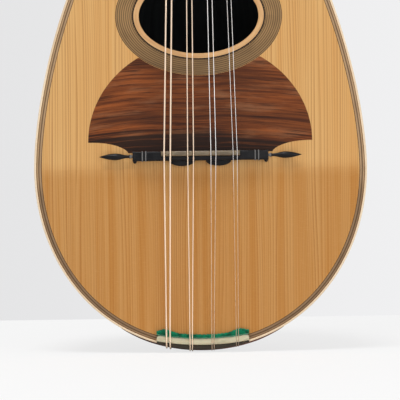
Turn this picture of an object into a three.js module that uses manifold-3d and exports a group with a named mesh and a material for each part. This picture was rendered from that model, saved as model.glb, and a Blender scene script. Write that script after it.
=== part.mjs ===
// Bowlback mandolin in millimetres. The neck runs up along +Z and the soundboard faces -Y.

import * as THREE from 'three';
import { LoftGeometry } from 'three/addons/geometries/LoftGeometry.js';
import { mergeVertices } from 'three/addons/utils/BufferGeometryUtils.js';
import Module from 'manifold-3d';

const wasm = await Module();
wasm.setup();

// Clearances
const seatGap = 0.3;
const stringGap = 0.3;
const cutOverrun = 2;

// Body outline
const bodyLength = 300;
const bodyWidth = 195;
const cantHeight = 106.3;
const cantSlope = Math.tan(THREE.MathUtils.degToRad(5.5));
const tailFlat = 8;
const lowerRoundness = 2.06;
const upperBulge = 1.69;
const upperTaper = 0.665;
const lowerSteps = 10;
const upperSteps = 9;

// Bowl
const bowlDepth = 132;
const bowlWall = 2;
const deepestHeight = 125;
const heelDepth = 27;
const sectionPower = 2 / 2.2;
const tailSteepness = 1.9;
const tailFullness = 0.65;
const backCurve = 1.8;
const narrowRibs = 19;
const sideRibAngle = THREE.MathUtils.degToRad(21);

// Soundboard and inlays
const boardThickness = 2.6;
const inlayThickness = 1;
const bindingWidth = 1.3;
const bindingDepth = 1.6;
const purflingWidth = 3.2;
const ellipseSegments = 16;

// Soundhole, rosette and scratch plate
const saddleSetback = 8.7;
const soundholeReach = 80.8;
const soundholeWidth = 70.2;
const soundholeHeight = 42.8;
const ringWidth = 3.7;
const rosetteWidth = 9.9;
const scratchPlateWidth = 131.2;
const scratchPlateRise = 59;
const scratchPlateCentre = 7.1;
const scratchPlateShoulder = 11.7;
const scratchPlateFoot = 84.4;
const scratchPlateDrop = 6.4;
const scratchPlateCurveShare = 0.3;

// Bridge
const bridgeBarLength = 79.2;
const bridgeBarWidth = 5.6;
const bridgeHeight = 6.5;
const bridgeEndHeight = 4.8;
const bridgeArchRise = 1.6;
const bridgeArchStart = 20;
const bridgeArchLength = 13;
const lobeInner = 3.2;
const lobeOuter = 18;
const lobeReach = 3.1;
const lobeHeight = 2.8;
const spurWidth = 2.4;
const spurReach = 1.4;
const finialLength = 19.7;
const finialRadius = 1.95;
const finialWaist = 0.85;
const finialHeight = 2.9;
const finialShares = [
  [0.06, 0.43],
  [0.1, 0.57],
  [0.14, 0.43],
  [0.24, 0.52],
  [0.42, 0.91],
  [0.55, 1],
  [0.72, 0.83],
  [0.9, 0.39],
];
const saddleLength = 46;
const saddleWidth = 2.9;
const saddleSeat = 4.6;

// Tail saddle, felt and strip
const tailSaddleLength = 54.5;
const tailSaddleStart = 2.6;
const tailSaddleWidth = 3.6;
const tailStripTaper = 1.22;
const tailSaddleHeight = 3;
const feltWidth = 2.2;
const feltSwell = 1.8;
const feltHeight = 1.6;
const tailStripHeight = 1.1;
const tailStripEdge = 0.2;
const tailSteps = 10;
const sheetSteps = 4;
const searchSteps = 40;

// Tail cap, tailpiece and blocks
const tailCapLength = 96;
const tailCapDepth = 12;
const tailCapThickness = 0.9;
const tailpieceLength = 56;
const tailpieceDepth = 26;
const tailpieceThickness = 1.2;
const hookSetback = 18;
const hookWidth = 1.6;
const hookThickness = 1.2;
const hookTip = 0.9;
const hookLip = 1.5;
const screwSetback = 9;
const screwSpread = 26;
const screwRadius = 1.5;
const screwHeadRadius = 3;
const screwHeadHeight = 1.4;
const screwCrownShare = 0.6;
const screwLength = 14;
const tailBlockWidth = 44;
const tailBlockDepth = 36;
const tailBlockLength = 20;
const neckBlockWidth = 60;
const neckBlockShare = 0.459;
const upperBraceShare = 0.27;
const braceWidth = 6;
const braceDepth = 10;

// Neck, fingerboard and nut
const scaleLength = 330;
const neckJointWidth = 42;
const nutWidth = 29;
const jointFingerboardWidth = 36.5;
const fingerboardThickness = 5;
const fretCount = 20;
const fretHeight = 1;
const fretWidth = 1.6;
const fretInset = 0.4;
const neckDepthAtNut = 15;
const neckDepthAtHeel = 18;
const heelSweep = 32;
const neckRoundness = 0.92;
const neckSteps = 12;
const heelSteps = 5;
const nutThickness = 4;
const nutRise = 1.9;

// Strings, from the bass side, with places as shares of half the spread at each support
const nutAction = 6.6;
const saddleAction = 9.4;
const nutSpread = 25;
const saddleSpread = 42.8;
const tailSpread = 42.8;
const hookSpread = 46;
const diameterG = 0.97;
const diameterD = 0.66;
const diameterA = 0.4;
const diameterE = 0.29;
const stringSides = 5;
const loopSteps = 4;
const windingTurns = 1.2;
const windingSteps = 8;
const stringShares = [
  { name: 'g_1', diameter: diameterG, side: -1, place: 0, nut: 1, saddle: 0.986, tail: 1, hook: 1 },
  { name: 'g_2', diameter: diameterG, side: -1, place: 1, nut: 0.824, saddle: 0.818, tail: 0.902, hook: 0.774 },
  { name: 'd_1', diameter: diameterD, side: -1, place: 2, nut: 0.416, saddle: 0.346, tail: 0.355, hook: 0.413 },
  { name: 'd_2', diameter: diameterD, side: -1, place: 3, nut: 0.24, saddle: 0.187, tail: 0.29, hook: 0.187 },
  { name: 'a_1', diameter: diameterA, side: 1, place: 3, nut: 0.24, saddle: 0.285, tail: 0.248, hook: 0.148 },
  { name: 'a_2', diameter: diameterA, side: 1, place: 2, nut: 0.416, saddle: 0.421, tail: 0.308, hook: 0.374 },
  { name: 'e_1', diameter: diameterE, side: 1, place: 1, nut: 0.824, saddle: 0.888, tail: 0.921, hook: 0.774 },
  { name: 'e_2', diameter: diameterE, side: 1, place: 0, nut: 1, saddle: 1, tail: 0.981, hook: 1 },
];

// Headstock
const headTilt = THREE.MathUtils.degToRad(14);
const headLength = 150;
const headThickness = 14;
const headVeneer = 1.5;
const headVeneerInset = 0.4;
const headShoulderWidth = 58;
const headShoulderRise = 22;
const headWaistWidth = 53;
const headWaistRise = 72;
const headEarWidth = 62;
const headEarRise = 127;
const headCrownWidth = 26;
const headCrownDrop = 4;
const headSteps = 24;

// Tuners
const postSpacing = 23;
const firstPostRise = 32;
const postSpread = 35;
const postRadius = 3;
const postWaist = 2.5;
const postCapRadius = 3.25;
const postCapHeight = 3;
const postWaistStart = 3.6;
const postWaistLength = 5.4;
const stringHoleRadius = 0.75;
const turnedSegments = 8;
const holeSegments = 6;
const plateThickness = 1.2;
const platePlanWidth = 16;
const plateEndMargin = 14;
const gearTeeth = 14;
const gearPitchRadius = 4.55;
const gearTipRadius = 5.05;
const gearRootRadius = 3.8;
const gearThickness = 1.8;
const gearStandoff = 2.2;
const toothRootWidth = 0.85;
const toothTipWidth = 0.45;
const hubRadius = 3.6;
const wormPitchRadius = 1.9;
const wormTipRadius = 2.5;
const wormRootRadius = 1.25;
const threadRootWidth = 0.9;
const threadTipWidth = 0.42;
const threadTurns = 2.5;
const threadSteps = 8;
const threadSinkShare = 0.8;
const journalRadius = 1.5;
const collarRadius = 2.3;
const collarWidth = 0.7;
const lugThickness = 1.6;
const lugReach = 5.4;
const lugWidth = 6.4;
const buttonStart = 33;
const buttonLength = 13;
const buttonRadius = 6.5;
const buttonNeckRadius = 3.4;
const buttonBoreDepth = 8;
const buttonFlatness = 0.62;
const buttonShares = [[0.52, 0], [0.56, 0.12], [0.95, 0.38], [1, 0.62], [0.72, 0.93], [0, 1]];

// Places worked out from the sizes above
const saddleHeight = cantHeight + saddleSetback;
const nutHeight = saddleHeight + scaleLength;
const soundholeCentre = saddleHeight + soundholeReach;
const halfBody = bodyWidth / 2;
const rimDepth = boardThickness + seatGap;
const headHeight = nutHeight + nutThickness + 2 * seatGap;
const jointShare = (1 - (neckJointWidth / bodyWidth) ** (1 / upperTaper)) ** (1 / upperBulge);
const upperReach = (bodyLength - cantHeight) / jointShare;
const soundholeTop = soundholeCentre + soundholeHeight / 2;
const fingerboardEnd = soundholeTop - seatGap;
const soundholeFoot = soundholeCentre - soundholeHeight / 2;
const shoulderLength = bodyLength - soundholeTop;
const neckBlockLength = shoulderLength * neckBlockShare;
const upperBraceHeight = soundholeTop + shoulderLength * upperBraceShare;
const lowerBraceHeight = soundholeFoot - 2 * braceWidth;
const strings = stringShares.map((entry) => ({
  ...entry,
  nut: (entry.side * entry.nut * nutSpread) / 2,
  saddle: (entry.side * entry.saddle * saddleSpread) / 2,
  tail: (entry.side * entry.tail * tailSpread) / 2,
  hook: (entry.side * entry.hook * hookSpread) / 2,
}));

const finishes = {
  spruce: { color: 0xd0a060, roughness: 0.55, metalness: 0 },
  rosewood: { color: 0x6b3a22, roughness: 0.45, metalness: 0 },
  ebony: { color: 0x1c1a1a, roughness: 0.4, metalness: 0 },
  maple: { color: 0xc99a62, roughness: 0.5, metalness: 0 },
  mahogany: { color: 0x7a4526, roughness: 0.5, metalness: 0 },
  bone: { color: 0xe4d9c0, roughness: 0.4, metalness: 0 },
  felt: { color: 0x0b7a55, roughness: 0.95, metalness: 0 },
  nickel: { color: 0xb9b7b0, roughness: 0.3, metalness: 1 },
  brass: { color: 0xb8924a, roughness: 0.35, metalness: 1 },
  bronze: { color: 0xc98f5c, roughness: 0.35, metalness: 1 },
  steel: { color: 0xc4c6c8, roughness: 0.3, metalness: 1 },
};

const materials = Object.fromEntries(
  Object.entries(finishes).map(([name, finish]) => [name, new THREE.MeshStandardMaterial(finish)]),
);

// Solids and meshes

function toSolid(geometry) {
  const bare = new THREE.BufferGeometry().copy(geometry);
  bare.deleteAttribute('normal');
  bare.deleteAttribute('uv');
  const merged = mergeVertices(bare);
  const mesh = new wasm.Mesh({
    numProp: 3,
    vertProperties: new Float32Array(merged.attributes.position.array),
    triVerts: new Uint32Array(merged.index.array),
  });
  return new wasm.Manifold(mesh);
}

function toGeometry(solid) {
  const mesh = solid.getMesh();
  const geometry = new THREE.BufferGeometry();
  geometry.setAttribute('position', new THREE.BufferAttribute(new Float32Array(mesh.vertProperties), 3));
  geometry.setIndex(new THREE.BufferAttribute(new Uint32Array(mesh.triVerts), 1));
  const flat = geometry.toNonIndexed();
  flat.computeVertexNormals();
  return flat;
}

function join(...geometries) {
  return toGeometry(geometries.map(toSolid).reduce((whole, piece) => whole.add(piece)));
}

function cut(geometry, ...tools) {
  return toGeometry(tools.map(toSolid).reduce((whole, tool) => whole.subtract(tool), toSolid(geometry)));
}

function common(first, second) {
  return toGeometry(toSolid(first).intersect(toSolid(second)));
}

function piece(name, geometry, material) {
  const mesh = new THREE.Mesh(geometry, material);
  mesh.name = name;
  return mesh;
}

// Basic forms

function centreOf(points) {
  return points.reduce((sum, point) => sum.add(point), new THREE.Vector3()).divideScalar(points.length);
}

function normalOf(points) {
  const normal = new THREE.Vector3();
  points.forEach((point, index) => {
    normal.add(new THREE.Vector3().crossVectors(point, points[(index + 1) % points.length]));
  });
  return normal;
}

// A closed solid through a row of sections, each turned to face along the row.
function loft(sections) {
  const centre = centreOf(sections[0]);
  const ring = sections[0].map((point) => point.clone().sub(centre));
  const heading = centreOf(sections[1]).sub(centre);
  const facesAway = normalOf(ring).dot(heading) < 0;
  const facing = sections.map((section) => (facesAway ? section.slice().reverse() : section));
  return new LoftGeometry(facing, { closed: true, capStart: true, capEnd: true });
}

function box(x, y, z) {
  const size = [x, y, z].map(([low, high]) => high - low);
  const middle = [x, y, z].map(([low, high]) => (low + high) / 2);
  return new THREE.BoxGeometry(...size).translate(...middle);
}

// A plan drawn in X and Z, given a thickness from front to back along Y.
function slab(shape, front, back) {
  const settings = { depth: back - front, bevelEnabled: false, steps: 1, curveSegments: ellipseSegments };
  return new THREE.ExtrudeGeometry(shape, settings).rotateX(Math.PI / 2).translate(0, back, 0);
}

function volumeOf(geometry) {
  const corners = geometry.index ? geometry.toNonIndexed() : geometry;
  const [a, b, c] = [new THREE.Vector3(), new THREE.Vector3(), new THREE.Vector3()];
  const position = corners.attributes.position;
  let volume = 0;
  for (let i = 0; i < position.count; i += 3) {
    a.fromBufferAttribute(position, i);
    b.fromBufferAttribute(position, i + 1);
    c.fromBufferAttribute(position, i + 2);
    volume += a.dot(b.cross(c));
  }
  return volume;
}

// A turned form about Y from pairs of radius and place, with both ends on the axis.
function turned(profile, segments = turnedSegments) {
  const points = profile.map(([radius, place]) => new THREE.Vector2(radius, place));
  const geometry = new THREE.LatheGeometry(points, segments);
  if (volumeOf(geometry) > 0) return geometry;
  return new THREE.LatheGeometry(points.reverse(), segments);
}

function rod(radius, from, to, segments = turnedSegments) {
  return turned([[0, from], [radius, from], [radius, to], [0, to]], segments);
}

function alongX(geometry) {
  return geometry.rotateZ(-Math.PI / 2);
}

function alongZ(geometry) {
  return geometry.rotateX(Math.PI / 2);
}

function ellipse(width, height, centre) {
  const shape = new THREE.Shape();
  shape.absellipse(0, centre, width / 2, height / 2, 0, 2 * Math.PI);
  return shape;
}

// A round wire through a list of points, its section carried along without twist.
function wire(points, radius, sides = stringSides) {
  const side = new THREE.Vector3(1, 0, 0);
  const sections = points.map((point, index) => {
    const before = points[Math.max(index - 1, 0)];
    const after = points[Math.min(index + 1, points.length - 1)];
    const heading = after.clone().sub(before).normalize();
    side.addScaledVector(heading, -side.dot(heading)).normalize();
    const across = new THREE.Vector3().crossVectors(heading, side);
    return Array.from({ length: sides }, (_, step) => {
      const angle = (2 * Math.PI * step) / sides;
      const offset = side.clone().multiplyScalar(Math.cos(angle) * radius);
      return offset.addScaledVector(across, Math.sin(angle) * radius).add(point);
    });
  });
  return loft(sections);
}

// Body outline and the canted soundboard plane

function cantDrop(z) {
  return Math.max(cantHeight - z, 0) * cantSlope;
}

function onBoard(x, depth, z) {
  return new THREE.Vector3(x, depth + cantDrop(z), z);
}

function halfWidthAt(z, inset = 0) {
  const flat = tailFlat / 2;
  const reach = Math.max(z - cantHeight, 0) / upperReach;
  if (reach > 0) return halfBody * (1 - reach ** upperBulge) ** upperTaper - inset;
  const rise = Math.min((cantHeight - z) / (cantHeight - inset), 1);
  return Math.max((halfBody - inset) * (1 - rise ** lowerRoundness) ** (1 / lowerRoundness), flat);
}

function outlineHeightAt(x) {
  return cantHeight * (1 - (1 - (Math.abs(x) / halfBody) ** lowerRoundness) ** (1 / lowerRoundness));
}

function heightStations(inset) {
  const lower = Array.from({ length: lowerSteps + 1 }, (_, step) => {
    const angle = ((Math.PI / 2) * step) / lowerSteps;
    return step === lowerSteps ? cantHeight : inset + (cantHeight - inset) * (1 - Math.cos(angle));
  });
  const upper = Array.from({ length: upperSteps }, (_, step) => {
    const share = (step + 1) / upperSteps;
    return cantHeight + (bodyLength - cantHeight) * share;
  });
  return [...lower, ...upper];
}

// The outline from the right neck corner round the tail to the left one, moved inwards.
function outline(inset) {
  const heights = heightStations(0);
  const right = heights.map((z) => new THREE.Vector2(halfWidthAt(z), z)).reverse();
  const left = right.map((point) => new THREE.Vector2(-point.x, point.y)).reverse();
  const points = [...right, ...left];
  return points.map((point, index) => {
    const before = points[Math.max(index - 1, 0)];
    const after = points[Math.min(index + 1, points.length - 1)];
    const along = after.clone().sub(before).normalize();
    const moved = new THREE.Vector2(point.x + along.y * inset, point.y - along.x * inset);
    if (index === 0 || index === points.length - 1) moved.y = point.y;
    if (point.y === cantHeight) moved.y = cantHeight;
    return moved;
  });
}

// A strip that follows the outline between two insets and two depths.
function band(outerInset, innerInset, front, back) {
  const outer = outline(outerInset);
  const inner = outline(innerInset);
  return loft(outer.map((edge, index) => [
    onBoard(edge.x, front, edge.y),
    onBoard(inner[index].x, front, inner[index].y),
    onBoard(inner[index].x, back, inner[index].y),
    onBoard(edge.x, back, edge.y),
  ]));
}

// Bowl

function bowlDepthAt(z, inset = 0) {
  if (z > deepestHeight) {
    const share = (z - deepestHeight) / (bodyLength - deepestHeight);
    return heelDepth + (bowlDepth - heelDepth) * (1 - share ** backCurve) - inset;
  }
  const share = Math.max(z - inset, 0) / (deepestHeight - inset);
  const depth = (bowlDepth - inset) * (1 - (1 - share) ** tailSteepness) ** tailFullness;
  return Math.max(depth, tailFlat / 2);
}

function ribAngles() {
  const inner = Array.from({ length: narrowRibs + 1 }, (_, step) => {
    return sideRibAngle + ((Math.PI - 2 * sideRibAngle) * step) / narrowRibs;
  });
  return [0, ...inner, Math.PI];
}

function softPower(value) {
  return Math.sign(value) * Math.abs(value) ** sectionPower;
}

// The space inside the bowl, moved inwards by an inset and brought forward past the rim.
function bowlBody(inset, forward) {
  const sections = heightStations(inset).map((z) => {
    const half = halfWidthAt(z, inset);
    const depth = bowlDepthAt(z, inset);
    const rim = rimDepth + cantDrop(z);
    const arc = ribAngles().map((angle) => {
      return new THREE.Vector3(half * softPower(Math.cos(angle)), rim + depth * softPower(Math.sin(angle)), z);
    });
    const front = [new THREE.Vector3(-half, rim - forward, z), new THREE.Vector3(half, rim - forward, z)];
    return forward > 0 ? [...arc, ...front] : arc;
  });
  return loft(sections);
}

// Height of the bowl's outside above the tail at a place seen from below.
function tailSurface(x, y) {
  let low = 0;
  let high = deepestHeight;
  for (let step = 0; step < searchSteps; step += 1) {
    const z = (low + high) / 2;
    const across = Math.abs(x) / halfWidthAt(z);
    const deep = Math.max(y - rimDepth - cantDrop(z), 0) / bowlDepthAt(z);
    if (across ** (2 / sectionPower) + deep ** (2 / sectionPower) > 1) low = z;
    else high = z;
  }
  return high;
}

function tailRim(x) {
  return rimDepth + cantDrop(outlineHeightAt(x));
}

function tailPlaces(length) {
  return Array.from({ length: tailSteps + 1 }, (_, step) => (length * step) / tailSteps - length / 2);
}

// A sheet that follows the bowl's tail end, standing off by a gap.
function tailSheet(length, depth, startAt, thickness) {
  return loft(tailPlaces(length).map((x) => {
    const rows = Array.from({ length: sheetSteps + 1 }, (_, step) => startAt(x) + (depth * step) / sheetSteps);
    const outer = rows.map((y) => new THREE.Vector3(x, y, tailSurface(x, y) - seatGap - thickness));
    const inner = rows.map((y) => new THREE.Vector3(x, y, tailSurface(x, y) - seatGap));
    return [...outer, ...inner.reverse()];
  }));
}

const tailpieceStart = tailRim(0) + tailCapDepth + 2 * seatGap;
const hookPlace = tailpieceStart + hookSetback;
const screwPlace = tailpieceStart + screwSetback;
const screwSides = [-1, 1];

function screwHole(side, radius) {
  const x = (side * screwSpread) / 2;
  const top = tailSurface(x, screwPlace) + screwLength + cutOverrun;
  return alongZ(rod(radius, -screwLength, top)).translate(x, screwPlace, 0);
}

function bowlRibs() {
  const shell = cut(bowlBody(0, 0), bowlBody(bowlWall, rimDepth + cutOverrun));
  return cut(shell, ...screwSides.map((side) => screwHole(side, screwRadius + seatGap)));
}

function insideBowl(x, y, z) {
  return common(bowlBody(bowlWall + seatGap, 0), box(x, y, z));
}

function brace(height) {
  const x = [-bodyWidth, bodyWidth];
  return insideBowl(x, [0, rimDepth + braceDepth], [height - braceWidth / 2, height + braceWidth / 2]);
}

function neckBlock() {
  const x = [-neckBlockWidth / 2, neckBlockWidth / 2];
  return insideBowl(x, [0, bowlDepth], [bodyLength - neckBlockLength, bodyLength - seatGap]);
}

function tailBlock() {
  const x = [-tailBlockWidth / 2, tailBlockWidth / 2];
  const block = insideBowl(x, [0, tailRim(0) + tailBlockDepth], [0, tailBlockLength]);
  return cut(block, ...screwSides.map((side) => screwHole(side, screwRadius + seatGap)));
}

function tailCap() {
  return tailSheet(tailCapLength, tailCapDepth, tailRim, tailCapThickness);
}

function hook(x) {
  const root = tailSurface(x, hookPlace) - seatGap - tailpieceThickness / 2;
  const thickest = Math.max(...strings.map((entry) => entry.diameter));
  const stem = tailpieceThickness / 2 + thickest + 2 * stringGap;
  const y = [hookPlace - hookThickness / 2, hookPlace + hookThickness / 2];
  const across = [x - hookWidth / 2, x + hookWidth / 2];
  const upright = box(across, y, [root - stem - hookTip, root]);
  const lip = box(across, [y[0], y[1] + hookLip], [root - stem - hookTip, root - stem]);
  return join(upright, lip);
}

function tailpiece() {
  const plate = tailSheet(tailpieceLength, tailpieceDepth, () => tailpieceStart, tailpieceThickness);
  const drilled = cut(plate, ...screwSides.map((side) => screwHole(side, screwRadius + seatGap)));
  return join(drilled, ...strings.map((entry) => hook(entry.hook)));
}

function tailpieceScrew(side) {
  const x = (side * screwSpread) / 2;
  const head = tailSurface(x, screwPlace - screwHeadRadius) - tailpieceThickness - 2 * seatGap;
  const profile = [
    [0, head - screwHeadHeight],
    [screwHeadRadius * screwCrownShare, head - screwHeadHeight],
    [screwHeadRadius, head - screwHeadHeight / 2],
    [screwHeadRadius, head],
    [screwRadius, head],
    [screwRadius, head + screwLength],
    [0, head + screwLength + screwRadius],
  ];
  return alongZ(turned(profile)).translate(x, screwPlace, 0);
}

// Soundboard, its edge and inlays

const bindingInner = bindingWidth + seatGap;
const purflingInner = bindingInner + purflingWidth;
const ringInner = [soundholeWidth, soundholeHeight];
const ringOuter = ringInner.map((size) => size + 2 * ringWidth);
const rosetteInner = ringOuter.map((size) => size + 2 * seatGap);
const rosetteOuter = rosetteInner.map((size) => size + 2 * rosetteWidth);
const inlayPocket = inlayThickness + seatGap;

function scratchPlateShape(margin) {
  const centre = saddleHeight + scratchPlateCentre;
  const half = scratchPlateWidth / 2 + margin;
  const shoulder = half - scratchPlateShoulder;
  const foot = scratchPlateFoot / 2 + margin;
  const low = centre - margin;
  const bottom = centre - scratchPlateDrop - margin;
  const middle = (low + bottom) / 2;
  const bend = foot + (shoulder - foot) * scratchPlateCurveShare;
  const shape = new THREE.Shape();
  shape.moveTo(foot, bottom);
  shape.quadraticCurveTo(bend, middle, (shoulder + foot) / 2, (middle + low) / 2);
  shape.quadraticCurveTo(shoulder, low, half, low);
  shape.absellipse(0, centre, half, scratchPlateRise + margin, 0, Math.PI);
  shape.lineTo(-half, low);
  shape.quadraticCurveTo(-shoulder, low, -(shoulder + foot) / 2, (middle + low) / 2);
  shape.quadraticCurveTo(-bend, middle, -foot, bottom);
  return shape;
}

function scratchPlate(margin, front, back) {
  const away = rosetteOuter.map((size) => size + 2 * (seatGap - margin));
  const rosetteEdge = slab(ellipse(...away, soundholeCentre), front - cutOverrun, back + cutOverrun);
  return cut(slab(scratchPlateShape(margin), front, back), rosetteEdge);
}

function inlay(outer, inner, front, back) {
  const shape = ellipse(...outer, soundholeCentre);
  shape.holes.push(ellipse(...inner, soundholeCentre));
  return slab(shape, front, back);
}

function soundboard() {
  const blank = loft(heightStations(0).map((z) => {
    const half = halfWidthAt(z);
    return [
      onBoard(-half, 0, z),
      onBoard(half, 0, z),
      onBoard(half, boardThickness, z),
      onBoard(-half, boardThickness, z),
    ];
  }));
  const pocketOuter = rosetteOuter.map((size) => size + 2 * seatGap);
  return cut(
    blank,
    slab(ellipse(...ringInner, soundholeCentre), -cutOverrun, boardThickness + cutOverrun),
    slab(ellipse(...pocketOuter, soundholeCentre), -cutOverrun, inlayPocket),
    scratchPlate(seatGap, -cutOverrun, inlayPocket),
    band(-cutOverrun, bindingInner, -cutOverrun, bindingDepth + seatGap),
    band(bindingInner - seatGap, purflingInner + seatGap, -cutOverrun, inlayPocket),
  );
}

// Bridge

const barLow = saddleHeight + saddleWidth / 2 - bridgeBarWidth;
const barHigh = barLow + bridgeBarWidth;
const barMiddle = (barLow + barHigh) / 2;

function bridgeBar() {
  const half = bridgeBarLength / 2;
  const saddleEnd = saddleLength / 2 + seatGap;
  const archEnd = bridgeArchStart + bridgeArchLength;
  const outlineRight = [
    [bridgeArchStart, seatGap],
    [bridgeArchStart + bridgeArchRise, seatGap + bridgeArchRise],
    [archEnd - bridgeArchRise, seatGap + bridgeArchRise],
    [archEnd, seatGap],
    [half, seatGap],
    [half, bridgeEndHeight],
    [saddleEnd + saddleSeat, bridgeHeight],
  ];
  const points = [...outlineRight, ...outlineRight.map(([x, y]) => [-x, y]).reverse()];
  const shape = new THREE.Shape(points.map(([x, y]) => new THREE.Vector2(x, y)));
  const settings = { depth: bridgeBarWidth, bevelEnabled: false, steps: 1 };
  const bar = new THREE.ExtrudeGeometry(shape, settings).rotateZ(Math.PI).translate(0, 0, barLow);
  const seatY = [-bridgeHeight - cutOverrun, -saddleSeat + seatGap];
  const seatZ = [saddleHeight - saddleWidth / 2 - seatGap, barHigh + cutOverrun];
  return cut(bar, box([-saddleEnd, saddleEnd], seatY, seatZ));
}

function bridgeLobe(side) {
  const shape = new THREE.Shape();
  const centre = (lobeInner + lobeOuter) / 2;
  const half = (lobeOuter - lobeInner) / 2;
  const root = barLow + seatGap;
  shape.absellipse(side * centre, root, half, lobeReach + seatGap, Math.PI, 2 * Math.PI);
  return slab(shape, -lobeHeight, -seatGap);
}

function bridgeSpur(side) {
  const tip = bridgeBarLength / 2 - spurWidth / 2;
  const root = barLow + seatGap;
  const shape = new THREE.Shape([
    new THREE.Vector2(side * (tip - spurWidth / 2), root),
    new THREE.Vector2(side * (tip + spurWidth / 2) - side * seatGap, root),
    new THREE.Vector2(side * tip, barLow - spurReach),
  ]);
  return slab(shape, -lobeHeight, -seatGap);
}

function finial(side) {
  const start = bridgeBarLength / 2 - seatGap;
  const swell = finialShares.map(([along, share]) => [finialRadius * share, start + finialLength * along]);
  const profile = [[0, start - seatGap], [finialWaist, start - seatGap], ...swell, [0, start + finialLength]];
  const placed = profile.map(([radius, place]) => [radius, side * place]);
  return alongX(turned(placed)).translate(0, -finialHeight, barMiddle);
}

function bridge() {
  const sides = [-1, 1];
  return join(bridgeBar(), ...sides.flatMap((side) => [bridgeLobe(side), bridgeSpur(side), finial(side)]));
}

function bridgeSaddle() {
  const half = saddleLength / 2;
  const y = [-saddleAction + stringGap, -saddleSeat];
  return box([-half, half], y, [saddleHeight - saddleWidth / 2, saddleHeight + saddleWidth / 2]);
}

// Tail saddle, felt and strip

function saddleCurve(x) {
  const share = Math.abs(x) / (tailSaddleLength / 2);
  return outlineHeightAt(x) + tailSaddleStart - tailStripTaper * share ** 2;
}

function boardStrip(length, lowAt, highAt, height) {
  return loft(tailPlaces(length).map((x) => [
    onBoard(x, -seatGap, lowAt(x)),
    onBoard(x, -seatGap, highAt(x)),
    onBoard(x, -height, highAt(x)),
    onBoard(x, -height, lowAt(x)),
  ]));
}

function tailSaddle() {
  const low = (x) => saddleCurve(x);
  return boardStrip(tailSaddleLength, low, (x) => low(x) + tailSaddleWidth, tailSaddleHeight);
}

function tailFelt() {
  const low = (x) => saddleCurve(x) + tailSaddleWidth + seatGap;
  const swell = (x) => feltSwell * Math.sin(Math.PI * Math.min(Math.abs(x) / (tailSaddleLength / 2), 1)) ** 2;
  return boardStrip(tailSaddleLength, low, (x) => low(x) + feltWidth + swell(x), feltHeight);
}

function tailStrip() {
  const low = (x) => outlineHeightAt(x) + tailStripEdge;
  const high = (x) => saddleCurve(x) - seatGap;
  return boardStrip(tailSaddleLength, low, high, tailStripHeight);
}

// Neck, fingerboard and nut

const fingerboardTaper = (jointFingerboardWidth - nutWidth) / 2 / (nutHeight - bodyLength);

function fingerboardHalf(z) {
  return nutWidth / 2 + Math.max(nutHeight - z, 0) * fingerboardTaper;
}

function neckSection(z, cutBack) {
  const run = (nutHeight - z) / (nutHeight - bodyLength);
  const heel = Math.max(1 - (z - bodyLength) / heelSweep, 0) ** 2;
  const plainDepth = neckDepthAtNut + (neckDepthAtHeel - neckDepthAtNut) * Math.max(run, 0);
  const depth = plainDepth + (rimDepth + heelDepth - plainDepth) * heel;
  const half = fingerboardHalf(z) + ((neckJointWidth - jointFingerboardWidth) / 2) * heel;
  return Array.from({ length: neckSteps + 1 }, (_, step) => {
    const angle = (Math.PI * step) / neckSteps;
    const across = Math.sign(Math.cos(angle)) * Math.abs(Math.cos(angle)) ** neckRoundness;
    const y = step % neckSteps === 0 ? 0 : depth * Math.sin(angle) ** neckRoundness;
    return new THREE.Vector3(half * across, y, z - y * cutBack);
  });
}

function neck() {
  const start = bodyLength + seatGap;
  const end = headHeight - seatGap / Math.cos(headTilt);
  const heel = Array.from({ length: heelSteps + 1 }, (_, step) => {
    return neckSection(start + (heelSweep * step) / heelSteps, 0);
  });
  const top = nutHeight - headThickness / 2;
  return loft([...heel, neckSection(top, 0), neckSection(end, Math.tan(headTilt))]);
}

function fingerboard() {
  const frets = [];
  for (let fret = 1; fret <= fretCount; fret += 1) {
    const z = saddleHeight + scaleLength * 2 ** (-fret / 12);
    const half = fingerboardHalf(z) - fretInset;
    const y = [-fingerboardThickness - fretHeight, -fingerboardThickness / 2];
    if (z - fretWidth > fingerboardEnd) frets.push(box([-half, half], y, [z - fretWidth / 2, z + fretWidth / 2]));
  }
  const board = loft([fingerboardEnd, nutHeight - seatGap].map((z) => {
    const half = fingerboardHalf(z);
    return [
      new THREE.Vector3(-half, -fingerboardThickness, z),
      new THREE.Vector3(half, -fingerboardThickness, z),
      new THREE.Vector3(half, 0, z),
      new THREE.Vector3(-half, 0, z),
    ];
  }));
  return join(board, ...frets);
}

function nut() {
  const half = nutWidth / 2;
  const y = [-fingerboardThickness - nutRise, 0];
  const block = box([-half, half], y, [nutHeight, nutHeight + nutThickness]);
  const slots = strings.map((entry) => {
    return wire([...nutRoute(entry), windingRoute(entry)[0]], entry.diameter / 2 + stringGap);
  });
  return cut(block, ...slots);
}

// Headstock

function headShape(inset) {
  const half = (width) => width / 2 - inset;
  const curve = new THREE.SplineCurve([
    new THREE.Vector2(half(nutWidth), 0),
    new THREE.Vector2(half(headShoulderWidth), headShoulderRise),
    new THREE.Vector2(half(headWaistWidth), headWaistRise),
    new THREE.Vector2(half(headEarWidth), headEarRise),
    new THREE.Vector2(half(headCrownWidth), headLength - headCrownDrop),
    new THREE.Vector2(0, headLength - inset),
  ]);
  const right = curve.getPoints(headSteps);
  const left = right.slice(0, -1).map((point) => new THREE.Vector2(-point.x, point.y)).reverse();
  return new THREE.Shape([...right, ...left]);
}

const tunerPlaces = [-1, 1].flatMap((side) => [0, 1, 2, 3].map((place) => ({
  side,
  place,
  x: (side * postSpread) / 2,
  z: firstPostRise + place * postSpacing,
})));

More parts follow.
